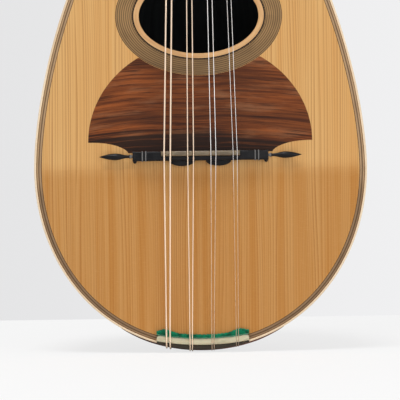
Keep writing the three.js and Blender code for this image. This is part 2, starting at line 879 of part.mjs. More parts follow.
const veneerFront = -seatGap - headVeneer;
const plateFront = headThickness + seatGap;
const plateBack = plateFront + plateThickness;
const gearFront = plateBack + gearStandoff;
const gearMiddle = gearFront + gearThickness / 2;
const wormDistance = gearPitchRadius + wormPitchRadius;
const wormLead = (2 * Math.PI * gearPitchRadius) / gearTeeth;
const collarEnd = lugReach - seatGap;
const waistFront = veneerFront - postWaistStart - postWaistLength;

function postHole(tuner, front, back) {
  return rod(postRadius + seatGap, front - cutOverrun, back + cutOverrun).translate(tuner.x, 0, tuner.z);
}

function headPlate(inset, front, back) {
  return cut(slab(headShape(inset), front, back), ...tunerPlaces.map((tuner) => postHole(tuner, front, back)));
}

function tunerPlate(side) {
  const places = tunerPlaces.filter((tuner) => tuner.side === side);
  const x = (side * postSpread) / 2;
  const halfPlan = platePlanWidth / 2;
  const z = [places[0].z - plateEndMargin, places[places.length - 1].z + plateEndMargin];
  const sheet = box([x - halfPlan, x + halfPlan], [plateFront, plateBack], z);
  const lugs = places.flatMap((tuner) => [-1, 1].map((end) => {
    const middle = tuner.x + end * (lugReach + lugThickness / 2);
    const across = [middle - lugThickness / 2, middle + lugThickness / 2];
    const height = tuner.z + wormDistance;
    const top = gearMiddle + journalRadius + lugThickness;
    return box(across, [plateFront + plateThickness / 2, top], [height - lugWidth / 2, height + lugWidth / 2]);
  }));
  const journals = places.map((tuner) => {
    const reach = platePlanWidth / 2 + cutOverrun;
    const bore = alongX(rod(journalRadius + seatGap, -reach, reach));
    return bore.translate(tuner.x, gearMiddle, tuner.z + wormDistance);
  });
  const holes = places.map((tuner) => postHole(tuner, plateFront, plateBack));
  return cut(join(sheet, ...lugs), ...journals, ...holes);
}

function gearShape() {
  const points = [];
  for (let tooth = 0; tooth < gearTeeth; tooth += 1) {
    const angle = Math.PI / 2 + (2 * Math.PI * (tooth + 0.5)) / gearTeeth;
    const out = new THREE.Vector2(Math.cos(angle), Math.sin(angle));
    const across = new THREE.Vector2(-out.y, out.x);
    const corners = [[gearRootRadius, -toothRootWidth], [gearTipRadius, -toothTipWidth]];
    const outlineOfTooth = [...corners, ...corners.map(([radius, width]) => [radius, -width]).reverse()];
    outlineOfTooth.forEach(([radius, width]) => {
      points.push(out.clone().multiplyScalar(radius).addScaledVector(across, width / 2));
    });
  }
  return new THREE.Shape(points);
}

function postWithGear() {
  const gearBack = gearFront + gearThickness;
  const stem = turned([
    [0, gearBack + plateThickness],
    [postWaist, gearBack + plateThickness],
    [postWaist, gearMiddle],
    [hubRadius, gearMiddle],
    [hubRadius, plateBack + seatGap],
    [postRadius, plateBack + seatGap],
    [postRadius, veneerFront - postWaistStart],
    [postWaist, veneerFront - postWaistStart - seatGap],
    [postWaist, waistFront + seatGap],
    [postCapRadius, waistFront],
    [postCapRadius, waistFront - postCapHeight / 2],
    [0, waistFront - postCapHeight],
  ]);
  const bit = rod(stringHoleRadius, -postCapRadius, postCapRadius, holeSegments);
  const hole = alongX(bit).translate(0, waistFront + postWaistLength / 2, 0);
  return cut(join(stem, slab(gearShape(), gearFront, gearBack)), hole);
}

function wormThread() {
  const count = Math.round(threadTurns * threadSteps);
  const core = wormRootRadius * threadSinkShare;
  const sections = Array.from({ length: count + 1 }, (_, step) => {
    const turn = (step / count - 0.5) * threadTurns;
    const angle = 2 * Math.PI * turn - Math.PI / 2;
    const corner = (radius, offset) => new THREE.Vector3(
      wormLead * turn + offset,
      radius * Math.cos(angle),
      radius * Math.sin(angle),
    );
    return [
      corner(core, -threadRootWidth / 2),
      corner(wormTipRadius, -threadTipWidth / 2),
      corner(wormTipRadius, threadTipWidth / 2),
      corner(core, threadRootWidth / 2),
    ];
  });
  return loft(sections);
}

function wormShaft(side) {
  const innerEnd = lugReach + lugThickness + seatGap;
  const outerEnd = buttonStart + buttonBoreDepth - seatGap - postSpread / 2;
  const profile = [
    [0, -innerEnd],
    [journalRadius, -innerEnd],
    [journalRadius, -collarEnd],
    [collarRadius, -collarEnd],
    [collarRadius, collarWidth - collarEnd],
    [wormRootRadius, collarWidth - collarEnd],
    [wormRootRadius, collarEnd - collarWidth],
    [collarRadius, collarEnd - collarWidth],
    [collarRadius, collarEnd],
    [journalRadius, collarEnd],
    [journalRadius, outerEnd],
    [0, outerEnd],
  ];
  const shaft = alongX(turned(profile.map(([radius, place]) => [radius, side * place])));
  return join(shaft, wormThread());
}

function button(side) {
  const outer = buttonShares.map(([radius, along]) => [buttonRadius * radius, side * buttonLength * along]);
  const body = alongX(turned([[0, 0], ...outer])).scale(1, buttonFlatness, 1);
  const neckEnd = alongX(rod(buttonNeckRadius, 0, side * buttonLength / 2));
  const bore = alongX(rod(journalRadius + seatGap, -side * cutOverrun, side * buttonBoreDepth));
  return cut(join(body, neckEnd), bore);
}

// Strings

const head = new THREE.Group();
head.position.set(0, 0, headHeight);
head.rotation.x = -headTilt;
head.updateMatrix();

const windingPoints = Math.round(windingTurns * windingSteps) + 1;

function loopRoute(entry) {
  const radius = entry.diameter / 2;
  const around = hookWidth / 2 + stringGap + radius;
  const lift = seatGap + tailpieceThickness + stringGap + radius;
  const end = [entry.hook + around, hookPlace - hookSetback / 4];
  const turn = Array.from({ length: loopSteps + 1 }, (_, step) => {
    const angle = (Math.PI * step) / loopSteps;
    return [entry.hook + around * Math.cos(angle), hookPlace + around * Math.sin(angle)];
  });
  return [end, ...turn].map(([px, py]) => new THREE.Vector3(px, py, tailSurface(px, py) - lift));
}

function tailRoute(entry) {
  const radius = entry.diameter / 2;
  const low = outlineHeightAt(entry.tail);
  const rim = tailRim(entry.tail);
  const across = (y) => entry.tail + ((entry.hook - entry.tail) * (y - rim)) / (hookPlace - rim);
  const over = (y, layer) => {
    const x = across(y);
    return new THREE.Vector3(x, y, tailSurface(x, y) - seatGap - layer - stringGap - radius);
  };
  const capBack = rim + tailCapDepth;
  const edge = cantDrop(low) - tailStripHeight;
  const reach = stringGap + radius;
  const bone = [saddleCurve(entry.tail), saddleCurve(entry.tail) + tailSaddleWidth];
  return [
    over(tailpieceStart + hookSetback / 3, tailpieceThickness),
    over(tailpieceStart, tailpieceThickness),
    over(capBack, tailCapThickness),
    over(rim, tailCapThickness),
    new THREE.Vector3(entry.tail, edge + tailStripHeight / 2, low - reach - tailCapThickness / 2),
    new THREE.Vector3(entry.tail, edge - reach / 2, low - reach / 2),
    ...bone.map((z) => new THREE.Vector3(entry.tail, cantDrop(z) - tailSaddleHeight - reach, z)),
  ];
}

function nutRoute(entry) {
  const y = -nutAction - entry.diameter / 2;
  return [nutHeight - nutThickness, nutHeight + nutThickness / 2].map((z) => new THREE.Vector3(entry.nut, y, z));
}

function windingRoute(entry) {
  const tuner = tunerPlaces.find((item) => item.side === entry.side && item.place === entry.place);
  const around = postWaist + stringGap + entry.diameter / 2;
  const nutInward = postSpread / 2 - Math.abs(entry.nut);
  const away = Math.hypot(nutInward, tuner.z);
  const start = Math.atan2(-tuner.z, nutInward) + Math.acos(around / away);
  const middle = waistFront + postWaistLength / 2;
  const pitch = entry.diameter + stringGap / 2;
  return Array.from({ length: windingPoints }, (_, step) => {
    const turn = step / windingSteps;
    const angle = start + 2 * Math.PI * turn;
    const inward = around * Math.cos(angle);
    const x = tuner.x - entry.side * inward;
    const y = middle + (turn - windingTurns / 2) * pitch;
    return new THREE.Vector3(x, y, tuner.z + around * Math.sin(angle)).applyMatrix4(head.matrix);
  });
}

function stringRoute(entry) {
  const overSaddle = new THREE.Vector3(entry.saddle, -saddleAction - entry.diameter / 2, saddleHeight);
  return [...loopRoute(entry), ...tailRoute(entry), overSaddle, ...nutRoute(entry), ...windingRoute(entry)];
}

// Assembly

const instrument = new THREE.Group();
instrument.add(
  piece('bowl_ribs', bowlRibs(), materials.rosewood),
  piece('tail_cap', tailCap(), materials.rosewood),
  piece('neck_block', neckBlock(), materials.mahogany),
  piece('tail_block', tailBlock(), materials.mahogany),
  piece('brace_upper', brace(upperBraceHeight), materials.spruce),
  piece('brace_lower', brace(lowerBraceHeight), materials.spruce),
  piece('brace_bridge', brace(cantHeight + braceWidth), materials.spruce),
  piece('soundboard', soundboard(), materials.spruce),
  piece('edge_binding', band(0, bindingWidth, 0, bindingDepth), materials.maple),
  piece('purfling', band(bindingInner, purflingInner, 0, inlayThickness), materials.rosewood),
  piece('soundhole_ring', inlay(ringOuter, ringInner, 0, inlayThickness), materials.maple),
  piece('rosette', inlay(rosetteOuter, rosetteInner, 0, inlayThickness), materials.rosewood),
  piece('scratch_plate', scratchPlate(0, 0, inlayThickness), materials.rosewood),
  piece('bridge', bridge(), materials.ebony),
  piece('bridge_saddle', bridgeSaddle(), materials.bone),
  piece('tail_saddle', tailSaddle(), materials.bone),
  piece('tail_felt', tailFelt(), materials.felt),
  piece('tail_strip', tailStrip(), materials.ebony),
  piece('tailpiece', tailpiece(), materials.nickel),
  piece('tailpiece_screw_left', tailpieceScrew(-1), materials.steel),
  piece('tailpiece_screw_right', tailpieceScrew(1), materials.steel),
  piece('neck', neck(), materials.mahogany),
  piece('fingerboard', fingerboard(), materials.ebony),
  piece('nut', nut(), materials.bone),
);

strings.forEach((entry) => {
  const metal = entry.side < 0 ? materials.bronze : materials.steel;
  instrument.add(piece(`string_${entry.name}`, wire(stringRoute(entry), entry.diameter / 2), metal));
});

head.add(
  piece('headstock', headPlate(0, 0, headThickness), materials.mahogany),
  piece('headstock_veneer', headPlate(headVeneerInset, veneerFront, -seatGap), materials.rosewood),
  piece('tuner_plate_left', tunerPlate(-1), materials.brass),
  piece('tuner_plate_right', tunerPlate(1), materials.brass),
);

const postGeometry = postWithGear();
const sideForms = new Map([-1, 1].map((side) => [side, { shaft: wormShaft(side), button: button(side) }]));

tunerPlaces.forEach((tuner, index) => {
  const number = index + 1;
  const forms = sideForms.get(tuner.side);
  const post = piece(`post_${number}`, postGeometry, materials.brass);
  const shaft = piece(`worm_shaft_${number}`, forms.shaft, materials.steel);
  const knob = piece(`button_${number}`, forms.button, materials.bone);
  post.position.set(tuner.x, 0, tuner.z);
  shaft.position.set(tuner.x, gearMiddle, tuner.z + wormDistance);
  knob.position.set(tuner.side * buttonStart, gearMiddle, tuner.z + wormDistance);
  head.add(post, shaft, knob);
});

instrument.add(head);

// The origin is at the back of the neck, level with the nut, where a hanger's yoke holds it.
instrument.position.set(0, -neckDepthAtNut, -nutHeight);

const group = new THREE.Group();
group.add(instrument);

export default group;
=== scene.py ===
"""The looks of a bowlback mandolin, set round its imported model.

Shapes are drawn in millimetres as the instrument's own drawing has them: X to the treble side, Y back from
the soundboard and Z up from the tail. Drawing.metres puts them into the frame.
"""

from __future__ import annotations

import logging
import math
from dataclasses import dataclass
from enum import Enum, IntEnum
from typing import Callable, Sequence, Union

import bmesh
import bpy
import numpy as np
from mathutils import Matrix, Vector

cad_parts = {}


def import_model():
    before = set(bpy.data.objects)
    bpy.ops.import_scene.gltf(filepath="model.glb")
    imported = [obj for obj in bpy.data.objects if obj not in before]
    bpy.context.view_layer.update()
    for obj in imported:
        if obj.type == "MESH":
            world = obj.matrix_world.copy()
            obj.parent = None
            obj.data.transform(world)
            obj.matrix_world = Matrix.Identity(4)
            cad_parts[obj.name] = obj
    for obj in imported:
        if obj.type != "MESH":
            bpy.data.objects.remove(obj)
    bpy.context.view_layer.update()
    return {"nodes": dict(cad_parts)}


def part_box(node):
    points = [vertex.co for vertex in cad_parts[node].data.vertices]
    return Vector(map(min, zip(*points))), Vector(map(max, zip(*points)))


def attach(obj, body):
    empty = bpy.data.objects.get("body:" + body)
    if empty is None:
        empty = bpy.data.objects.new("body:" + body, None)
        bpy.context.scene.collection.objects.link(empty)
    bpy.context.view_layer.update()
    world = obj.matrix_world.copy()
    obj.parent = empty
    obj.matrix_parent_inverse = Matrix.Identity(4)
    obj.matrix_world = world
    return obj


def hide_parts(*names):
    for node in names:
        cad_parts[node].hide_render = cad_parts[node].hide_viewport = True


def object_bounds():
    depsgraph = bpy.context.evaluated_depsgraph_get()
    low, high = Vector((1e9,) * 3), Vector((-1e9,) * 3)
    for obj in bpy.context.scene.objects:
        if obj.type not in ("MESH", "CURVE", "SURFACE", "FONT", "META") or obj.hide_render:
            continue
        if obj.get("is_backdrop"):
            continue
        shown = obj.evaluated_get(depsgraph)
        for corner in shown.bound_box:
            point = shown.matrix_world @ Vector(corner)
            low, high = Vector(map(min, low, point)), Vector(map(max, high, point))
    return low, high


Array = np.ndarray
Pairs = Sequence[tuple[float, float]]
Colour = tuple[float, float, float, float]
Material = bpy.types.Material
Socket = bpy.types.NodeSocket

MM = 0.001
TURN = 2 * math.pi
MERGE = 2e-7
CREASE = 35.0
TINY = 1e-6
DOME_EDGE = 0.35
SLOT_SHARE = 0.11

log = logging.getLogger("mandolin")


class Side(IntEnum):
    """A side of the instrument, as the sign of its X."""

    BASS = -1
    TREBLE = 1


class Reading(Enum):
    """What a material's coordinates are read from."""

    PLACE = "Object"
    PATTERN = "UV"


def srgb(red: float, green: float, blue: float) -> Colour:
    """A screen colour as the linear colour that a shader takes, through the sRGB curve.

    Args:
        red, green, blue: the channels from 0 to 255.

    Returns:
        The linear colour with full alpha.
    """
    share = np.array([red, green, blue]) / 255
    linear = np.where(share <= 0.04045, share / 12.92, ((share + 0.055) / 1.055) ** 2.4)
    return (*(float(channel) for channel in linear), 1.0)


def unit(vectors: Array) -> Array:
    """Vectors (..., n) divided by their lengths."""
    return vectors / np.maximum(np.linalg.norm(vectors, axis=-1, keepdims=True), 1e-12)


def soft_power(values: Array, power: float) -> Array:
    """Values raised to a power that keep their signs."""
    return np.sign(values) * np.abs(values) ** power


def placed(*coordinates: Array) -> Array:
    """Coordinates of any matching shapes as places, with the coordinate last."""
    return np.stack(np.broadcast_arrays(*coordinates), -1)


def facing(points: Array) -> Array:
    """A plate drawn in X and Z with its thickness last, with that thickness put along Y."""
    return points[..., [0, 2, 1]]


def about_x(points: Array) -> Array:
    """A form about Y as the same form about X."""
    return points[..., [1, 0, 2]]


def running_length(points: Array) -> Array:
    """The length of a line (n, k) up to each of its points, as a cumulative sum."""
    return np.concatenate([[0], np.cumsum(np.linalg.norm(np.diff(points, axis=0), axis=1))])


def evenly(points: Array, steps: int) -> Array:
    """A line walked again in equal steps of its length, by interpolation over the running length.

    Args:
        points: the line (n, k).
        steps: the number of steps.

    Returns:
        The new line (steps + 1, k), with the same ends.
    """
    length = running_length(points)
    places = np.linspace(0, length[-1], steps + 1)
    return np.stack([np.interp(places, length, column) for column in points.T], -1)


def smooth_line(points: Array, steps: int) -> Array:
    """A smooth line through a few points: a Catmull-Rom spline, walked again in equal steps.

    Between two points it is the cubic whose end slopes are half the chord of their neighbours.

    Args:
        points: the points (n, k).
        steps: the steps of the line that comes back.

    Returns:
        The line (steps + 1, k).
    """
    padded = np.concatenate([2 * points[:1] - points[1:2], points, 2 * points[-1:] - points[-2:-1]])
    t = np.linspace(0, 1, 24, endpoint=False)[None, :, None]
    before, start, end, after = (padded[i : len(padded) - 3 + i, None] for i in range(4))
    cubic = 2 * start + (end - before) * t + (2 * before - 5 * start + 4 * end - after) * t**2
    cubic = (cubic + (3 * start - before - 3 * end + after) * t**3) / 2
    return evenly(np.concatenate([cubic.reshape(-1, points.shape[1]), points[-1:]]), steps)


def softened(points: Array, reach: float) -> Array:
    """A line with each corner made the quadratic curve between two points at a distance from it.

    Args:
        points: the corners (n, 3).
        reach: the distance, or 0.4 of the side where that is less.

    Returns:
        The line, with the same ends.
    """
    before, corner, after = points[:-2], points[1:-1], points[2:]
    back, ahead = before - corner, after - corner
    near = np.minimum(reach, 0.4 * np.linalg.norm(back, axis=1, keepdims=True))
    far = np.minimum(reach, 0.4 * np.linalg.norm(ahead, axis=1, keepdims=True))
    start, end = corner + unit(back) * near, corner + unit(ahead) * far
    t = np.linspace(0, 1, 7)[None, :, None]
    curves = start[:, None] * (1 - t) ** 2 + corner[:, None] * 2 * t * (1 - t) + end[:, None] * t**2
    return np.concatenate([points[:1], curves.reshape(-1, 3), points[-1:]])


def ring(points: Array) -> Array:
    """Rows of points with each row's first point repeated at its end, which closes the row."""
    return np.concatenate([points, points[:, :1]], axis=1)


def capped(points: Array) -> Array:
    """Rows of points with the middle of the first and the last row added, which closes both ends.

    Args:
        points: rows of points, the last of each row equal to the first.

    Returns:
        The points with a row more at each end.
    """
    middles = points[[0, -1], :-1].mean(axis=1, keepdims=True)
    first, last = np.broadcast_to(middles, (2, *points.shape[1:]))[:, None]
    return np.concatenate([first, points, last])


def closed(*coordinates: Array) -> Array:
    """Rows of places from their coordinates, closed round each row and at both ends."""
    return capped(ring(placed(*coordinates)))


def rounded(half_width: float, half_height: float, power: float, steps: int = 28) -> Array:
    """A soft-cornered rectangle, which is a superellipse.

    Args:
        half_width, half_height: its half sizes.
        power: the superellipse's power.
        steps: points round it.

    Returns:
        Its points (steps, 2), open.
    """
    angle = np.linspace(0, TURN, steps, endpoint=False)
    x = half_width * soft_power(np.cos(angle), 2 / power)
    return placed(x, half_height * soft_power(np.sin(angle), 2 / power))


def turned(profile: Pairs, segments: int = 32) -> Array:
    """A turned form about Y: each (radius, place) of the profile is taken round in even steps.

    Args:
        profile: radii and places along the axis.
        segments: steps round the axis.

    Returns:
        A grid (profile, segments + 1, 3).
    """
    radius, place = np.array(profile, float).T[..., None]
    angle = np.linspace(0, TURN, segments + 1)
    return placed(radius * np.cos(angle), place, radius * np.sin(angle))


def prism(outline: Array, low: float, high: float, bevel: float) -> Array:
    """A plate of an outline drawn round its own middle, with its edges rounded.

    Its rows draw the outline in by the bevel in a quarter round at both faces, with the wall between.

    Args:
        outline: the points (n, 2), not closed.
        low, high: the two faces along the third axis.
        bevel: the radius of the edges.

    Returns:
        A closed grid (rows, n + 1, 3) with the third axis last.
    """
    quarter = np.linspace(0, math.pi / 2, 4)
    sine, cosine = bevel * (1 - np.sin(quarter)), bevel * (1 - np.cos(quarter))
    inward = np.concatenate([sine, cosine])[:, None]
    height = np.concatenate([low + cosine, high - sine])[:, None]
    share = 1 - np.minimum(inward / np.linalg.norm(outline, axis=1), 1)
    return closed(outline[:, 0] * share, outline[:, 1] * share, height)


def tube(path: Array, radius: float | Array, side: Array | Sequence[float], sides: int) -> Array:
    """A round wire: at each point a circle in the plane across the path.

    One axis of the circle is the given side made square to the path.

    Args:
        path: the points (n, 3).
        radius: the wire's radius, or one for each point.
        side: a direction that the path never takes, or one for each point.
        sides: steps round the wire.

    Returns:
        A closed grid (n + 2, sides + 1, 3).
    """
    heading = unit(np.gradient(path, axis=0))
    first = unit(np.cross(heading, side))
    second = np.cross(heading, first)
    angle = np.linspace(0, TURN, sides + 1)[None, :, None]
    reach = np.broadcast_to(radius, len(path))[:, None, None]
    circle = first[:, None] * np.cos(angle) + second[:, None] * np.sin(angle)
    return capped(path[:, None] + circle * reach)


def slotted_screw(radius: float, height: float, shank: float, length: float) -> list[Array]:
    """A slotted round-head screw that points along +Y with its head below Y 0.

    The head's height is the root of one less the squared share of the radius, cut to half in the slot.

    Args:
        radius, height: of the head.
        shank, length: radius and length of the shank.

    Returns:
        The closed grids.
    """
    angle = np.linspace(0, TURN, 97)
    share = np.linspace(0, 1, 16)[:, None]
    x, z = radius * share * np.cos(angle), radius * share * np.sin(angle)
    dome = height * (DOME_EDGE + (1 - DOME_EDGE) * np.sqrt(np.maximum(1 - share**2, 0)))
    y = -np.where(np.abs(z) < radius * SLOT_SHARE, np.minimum(dome * 0.5, dome - 0.2), dome)
    under = placed(x[-1:], 0 * x[-1:], z[-1:])
    head = np.concatenate([placed(x, y, z), under, 0 * under])
    return [head, turned([(0, 0), (shank, 0), (shank, length), (0, length + shank)], 20)]


@dataclass(frozen=True)
class Drawing:
    """The driving sizes of the instrument in millimetres, and where its drawing lies in the frame."""

    front: float
    tail: float
    body_length: float = 300.0
    body_width: float = 195.0
    cant_height: float = 106.3
    cant_slope: float = math.tan(math.radians(5.5))
    lower_roundness: float = 2.06
    upper_bulge: float = 1.69
    upper_taper: float = 0.665
    neck_joint_width: float = 42.0
    board_thickness: float = 2.6
    seat_gap: float = 0.3
    bowl_depth: float = 132.0
    deepest_height: float = 125.0
    heel_depth: float = 27.0
    section_power: float = 2 / 2.2
    tail_steepness: float = 1.9
    tail_fullness: float = 0.65
    back_curve: float = 1.8
    saddle_setback: float = 8.7
    soundhole_reach: float = 80.8
    soundhole_height: float = 42.8
    scale_length: float = 330.0
    nut_width: float = 29.0
    nut_thickness: float = 4.0
    joint_fingerboard_width: float = 36.5
    fingerboard_thickness: float = 5.0
    head_tilt: float = math.radians(14)
    head_thickness: float = 14.0
    post_spread: float = 35.0
    first_post: float = 32.0
    post_spacing: float = 23.0
    post_waist: float = 2.5

    @classmethod
    def from_frame(cls) -> Drawing:
        """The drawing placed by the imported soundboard, whose front face and lowest edge are its zeros."""
        low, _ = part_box("soundboard")
        return cls(front=low.y, tail=low.z)

    @property
    def rim_depth(self) -> float:
        """How far behind the soundboard's face the bowl starts."""
        return self.board_thickness + self.seat_gap

    @property
    def saddle_height(self) -> float:
        """Height of the bridge's saddle above the tail."""
        return self.cant_height + self.saddle_setback

    @property
    def soundhole_centre(self) -> float:
        """Height of the soundhole's centre above the tail."""
        return self.saddle_height + self.soundhole_reach

    @property
    def nut_height(self) -> float:
        """Height of the nut above the tail."""
        return self.saddle_height + self.scale_length

    @property
    def head_height(self) -> float:
        """Height at which the headstock's own drawing starts."""
        return self.nut_height + self.nut_thickness + 2 * self.seat_gap

    def post_height(self, number: int) -> float:
        """Height of a side's posts, counted up from 0, in the headstock's drawing."""
        return self.first_post + number * self.post_spacing

    def metres(self, points: Array) -> Array:
        """Points of the drawing, (..., 3) in millimetres, as places of the frame in metres."""
        return points * MM + np.array([0.0, self.front, self.tail])

    def tilted(self, points: Array) -> Array:
        """Points of the headstock's own drawing, which leans back about X above the nut, in the instrument's.

        Args:
            points: places (..., 3) with Y back from the headstock's face and Z up along it.

        Returns:
            The same places in the instrument's drawing.
        """
        sine, cosine = math.sin(self.head_tilt), math.cos(self.head_tilt)
        x, y, z = points[..., 0], points[..., 1], points[..., 2]
        return placed(x, y * cosine + z * sine, self.head_height - y * sine + z * cosine)

    def drop(self, z: Array) -> Array:
        """How far the canted lower soundboard has fallen back: the height below the cant times its slope."""
        return np.maximum(self.cant_height - z, 0) * self.cant_slope

    def on_board(self, x: Array, depth: Array, z: Array) -> Array:
        """Places at a depth behind the canted soundboard's face, negative in front of it."""
        return placed(x, depth + self.drop(z), z)

    def half_width(self, z: Array) -> Array:
        """Half the body's width at a height.

        Above the widest place it is half the body times (1 - reach share ** bulge) ** taper, and below it a
        superellipse.

        Args:
            z: heights above the tail.

        Returns:
            The half widths.
        """
        joint = self.neck_joint_width / self.body_width
        at_joint = (1 - joint ** (1 / self.upper_taper)) ** (1 / self.upper_bulge)
        closing = (self.body_length - self.cant_height) / at_joint
        reach = np.clip((z - self.cant_height) / closing, 0, 1)
        upper = (1 - reach**self.upper_bulge) ** self.upper_taper
        fall = np.clip((self.cant_height - z) / self.cant_height, 0, 1)
        lower = (1 - fall**self.lower_roundness) ** (1 / self.lower_roundness)
        return self.body_width / 2 * np.where(z > self.cant_height, upper, lower)

    def rim_height(self, x: Array) -> Array:
        """Height of the tail's outline at a place across, from the same superellipse as half_width."""
        share = np.clip(np.abs(x) / (self.body_width / 2), 0, 1) ** self.lower_roundness
        return self.cant_height * (1 - (1 - share) ** (1 / self.lower_roundness))

    def depth(self, z: Array) -> Array:
        """Depth of the bowl behind its rim.

        Below the deepest place it is depth times (1 - (1 - share) ** steepness) ** fullness. Above it the
        back runs down to the heel with the power back_curve.

        Args:
            z: heights above the tail.

        Returns:
            The depths.
        """
        low = np.clip(z / self.deepest_height, 0, 1)
        tail = self.bowl_depth * (1 - (1 - low) ** self.tail_steepness) ** self.tail_fullness
        high = np.clip((z - self.deepest_height) / (self.body_length - self.deepest_height), 0, 1)
        back = self.heel_depth + (self.bowl_depth - self.heel_depth) * (1 - high**self.back_curve)
        return np.where(z > self.deepest_height, back, tail)

    def tail_surface(self, x: Array, y: Array) -> Array:
        """Height of the bowl's outside at a place seen from below the tail.

        The height at which the place lies on the superelliptic section is found by halving an interval.

        Args:
            x, y: places across and behind the soundboard's face.

        Returns:
            The heights above the tail.
        """
        low = np.zeros(np.broadcast(x, y).shape)
        high = np.full_like(low, self.deepest_height)
        for _ in range(40):
            z = (low + high) / 2
            across = np.abs(x) / np.maximum(self.half_width(z), TINY)
            deep = np.maximum(y - self.rim_depth - self.drop(z), 0) / np.maximum(self.depth(z), TINY)
            outside = across ** (2 / self.section_power) + deep ** (2 / self.section_power) > 1
            low, high = np.where(outside, z, low), np.where(outside, high, z)
        return high

    def tail_rim(self, x: Array) -> Array:
        """Depth of the bowl's rim along the tail, with the soundboard's cant."""
        return self.rim_depth + self.drop(self.rim_height(x))

    def fingerboard_half(self, z: Array) -> Array:
        """Half the fingerboard's width: the nut's half plus an even taper down the neck."""
        taper = (self.joint_fingerboard_width - self.nut_width) / 2 / (self.nut_height - self.body_length)
        return self.nut_width / 2 + np.maximum(self.nut_height - z, 0) * taper

    def edge(self) -> tuple[Array, Array]:
        """The body's outline from the treble neck corner round the tail to the bass one.

        Each half is the upper curve and the lower superellipse, each walked in equal steps of its length.

        Returns:
            The outline's points (n, 2) in X and Z, and its unit normals that point inwards.
        """
        high = np.linspace(self.body_length, self.cant_height, 400)
        angle = np.linspace(math.pi / 2, 0, 600)
        fall = self.body_width / 2 * np.sin(angle) ** (2 / self.lower_roundness)
        tail = self.cant_height * (1 - np.cos(angle) ** (2 / self.lower_roundness))
        upper, lower = evenly(placed(self.half_width(high), high), 120), evenly(placed(fall, tail), 150)
        right = np.concatenate([upper[:-1], lower])
        points = np.concatenate([right, right[-2::-1] * [-1, 1]])
        along = unit(np.gradient(points, axis=0))
        return points, placed(along[:, 1], -along[:, 0])


def linked(name: str, data: bpy.types.ID) -> bpy.types.Object:
    """A new object with this data, in the scene.

    Args:
        name: the object's name.
        data: a mesh, lamp or camera.

    Returns:
        The object.
    """
    made = bpy.data.objects.new(name, data)
    bpy.context.scene.collection.objects.link(made)
    return made


class Surface:
    """Grids of points that together make one mesh."""

    def __init__(self, *grids: Array) -> None:
        """Starts with these grids.

        Args:
            grids: grids of points without a pattern.
        """
        self.points: list[Array] = []
        self.faces: list[Array] = []
        self.uvs: list[Array] = []
        self.count = 0
        for grid in grids:
            self.grid(grid)

    def grid(self, points: Array, uv: Array | None = None) -> Surface:
        """Adds a grid whose neighbouring points are joined by four-sided faces.

        Args:
            points: places (rows, columns, 3) in millimetres.
            uv: pattern places (rows, columns, 2); the shares along both sides if left out.

        Returns:
            This surface.
        """
        rows, columns = points.shape[:2]
        index = np.arange(rows * columns).reshape(rows, columns) + self.count
        corners = [index[:-1, :-1], index[1:, :-1], index[1:, 1:], index[:-1, 1:]]
        if uv is None:
            uv = placed(np.linspace(0, 1, rows)[:, None], np.linspace(0, 1, columns))
        self.points.append(points.reshape(-1, 3))
        self.faces.append(np.stack(corners, -1).reshape(-1, 4))
        self.uvs.append(uv.reshape(-1, 2))
        self.count += rows * columns
        return self

    def build(self, name: str, drawing: Drawing, crease: float) -> bpy.types.Object:
        """Makes the mesh: seams and poles are merged, faces turned outwards and corners left sharp.

        Args:
            name: the piece's name.
            drawing: what places it in the frame.
            crease: the angle in degrees from which an edge stays sharp.

        Returns:
            The object, at the origin.
        """
        faces = np.concatenate(self.faces)
        points = drawing.metres(np.concatenate(self.points))
        mesh = bpy.data.meshes.new(name)
        mesh.from_pydata(points.tolist(), [], faces.tolist())
        layer = mesh.uv_layers.new(name="UVMap")
        layer.data.foreach_set("uv", np.concatenate(self.uvs)[faces].astype(np.float32).ravel())
        work = bmesh.new()
        work.from_mesh(mesh)
        bmesh.ops.remove_doubles(work, verts=work.verts, dist=MERGE)
        bmesh.ops.dissolve_degenerate(work, edges=work.edges, dist=MERGE)
        bmesh.ops.recalc_face_normals(work, faces=work.faces)
        work.to_mesh(mesh)
        work.free()
        mesh.shade_smooth()
        mesh.set_sharp_from_angle(angle=math.radians(crease))
        return linked(name, mesh)


Operand = Union["Number", float, int]


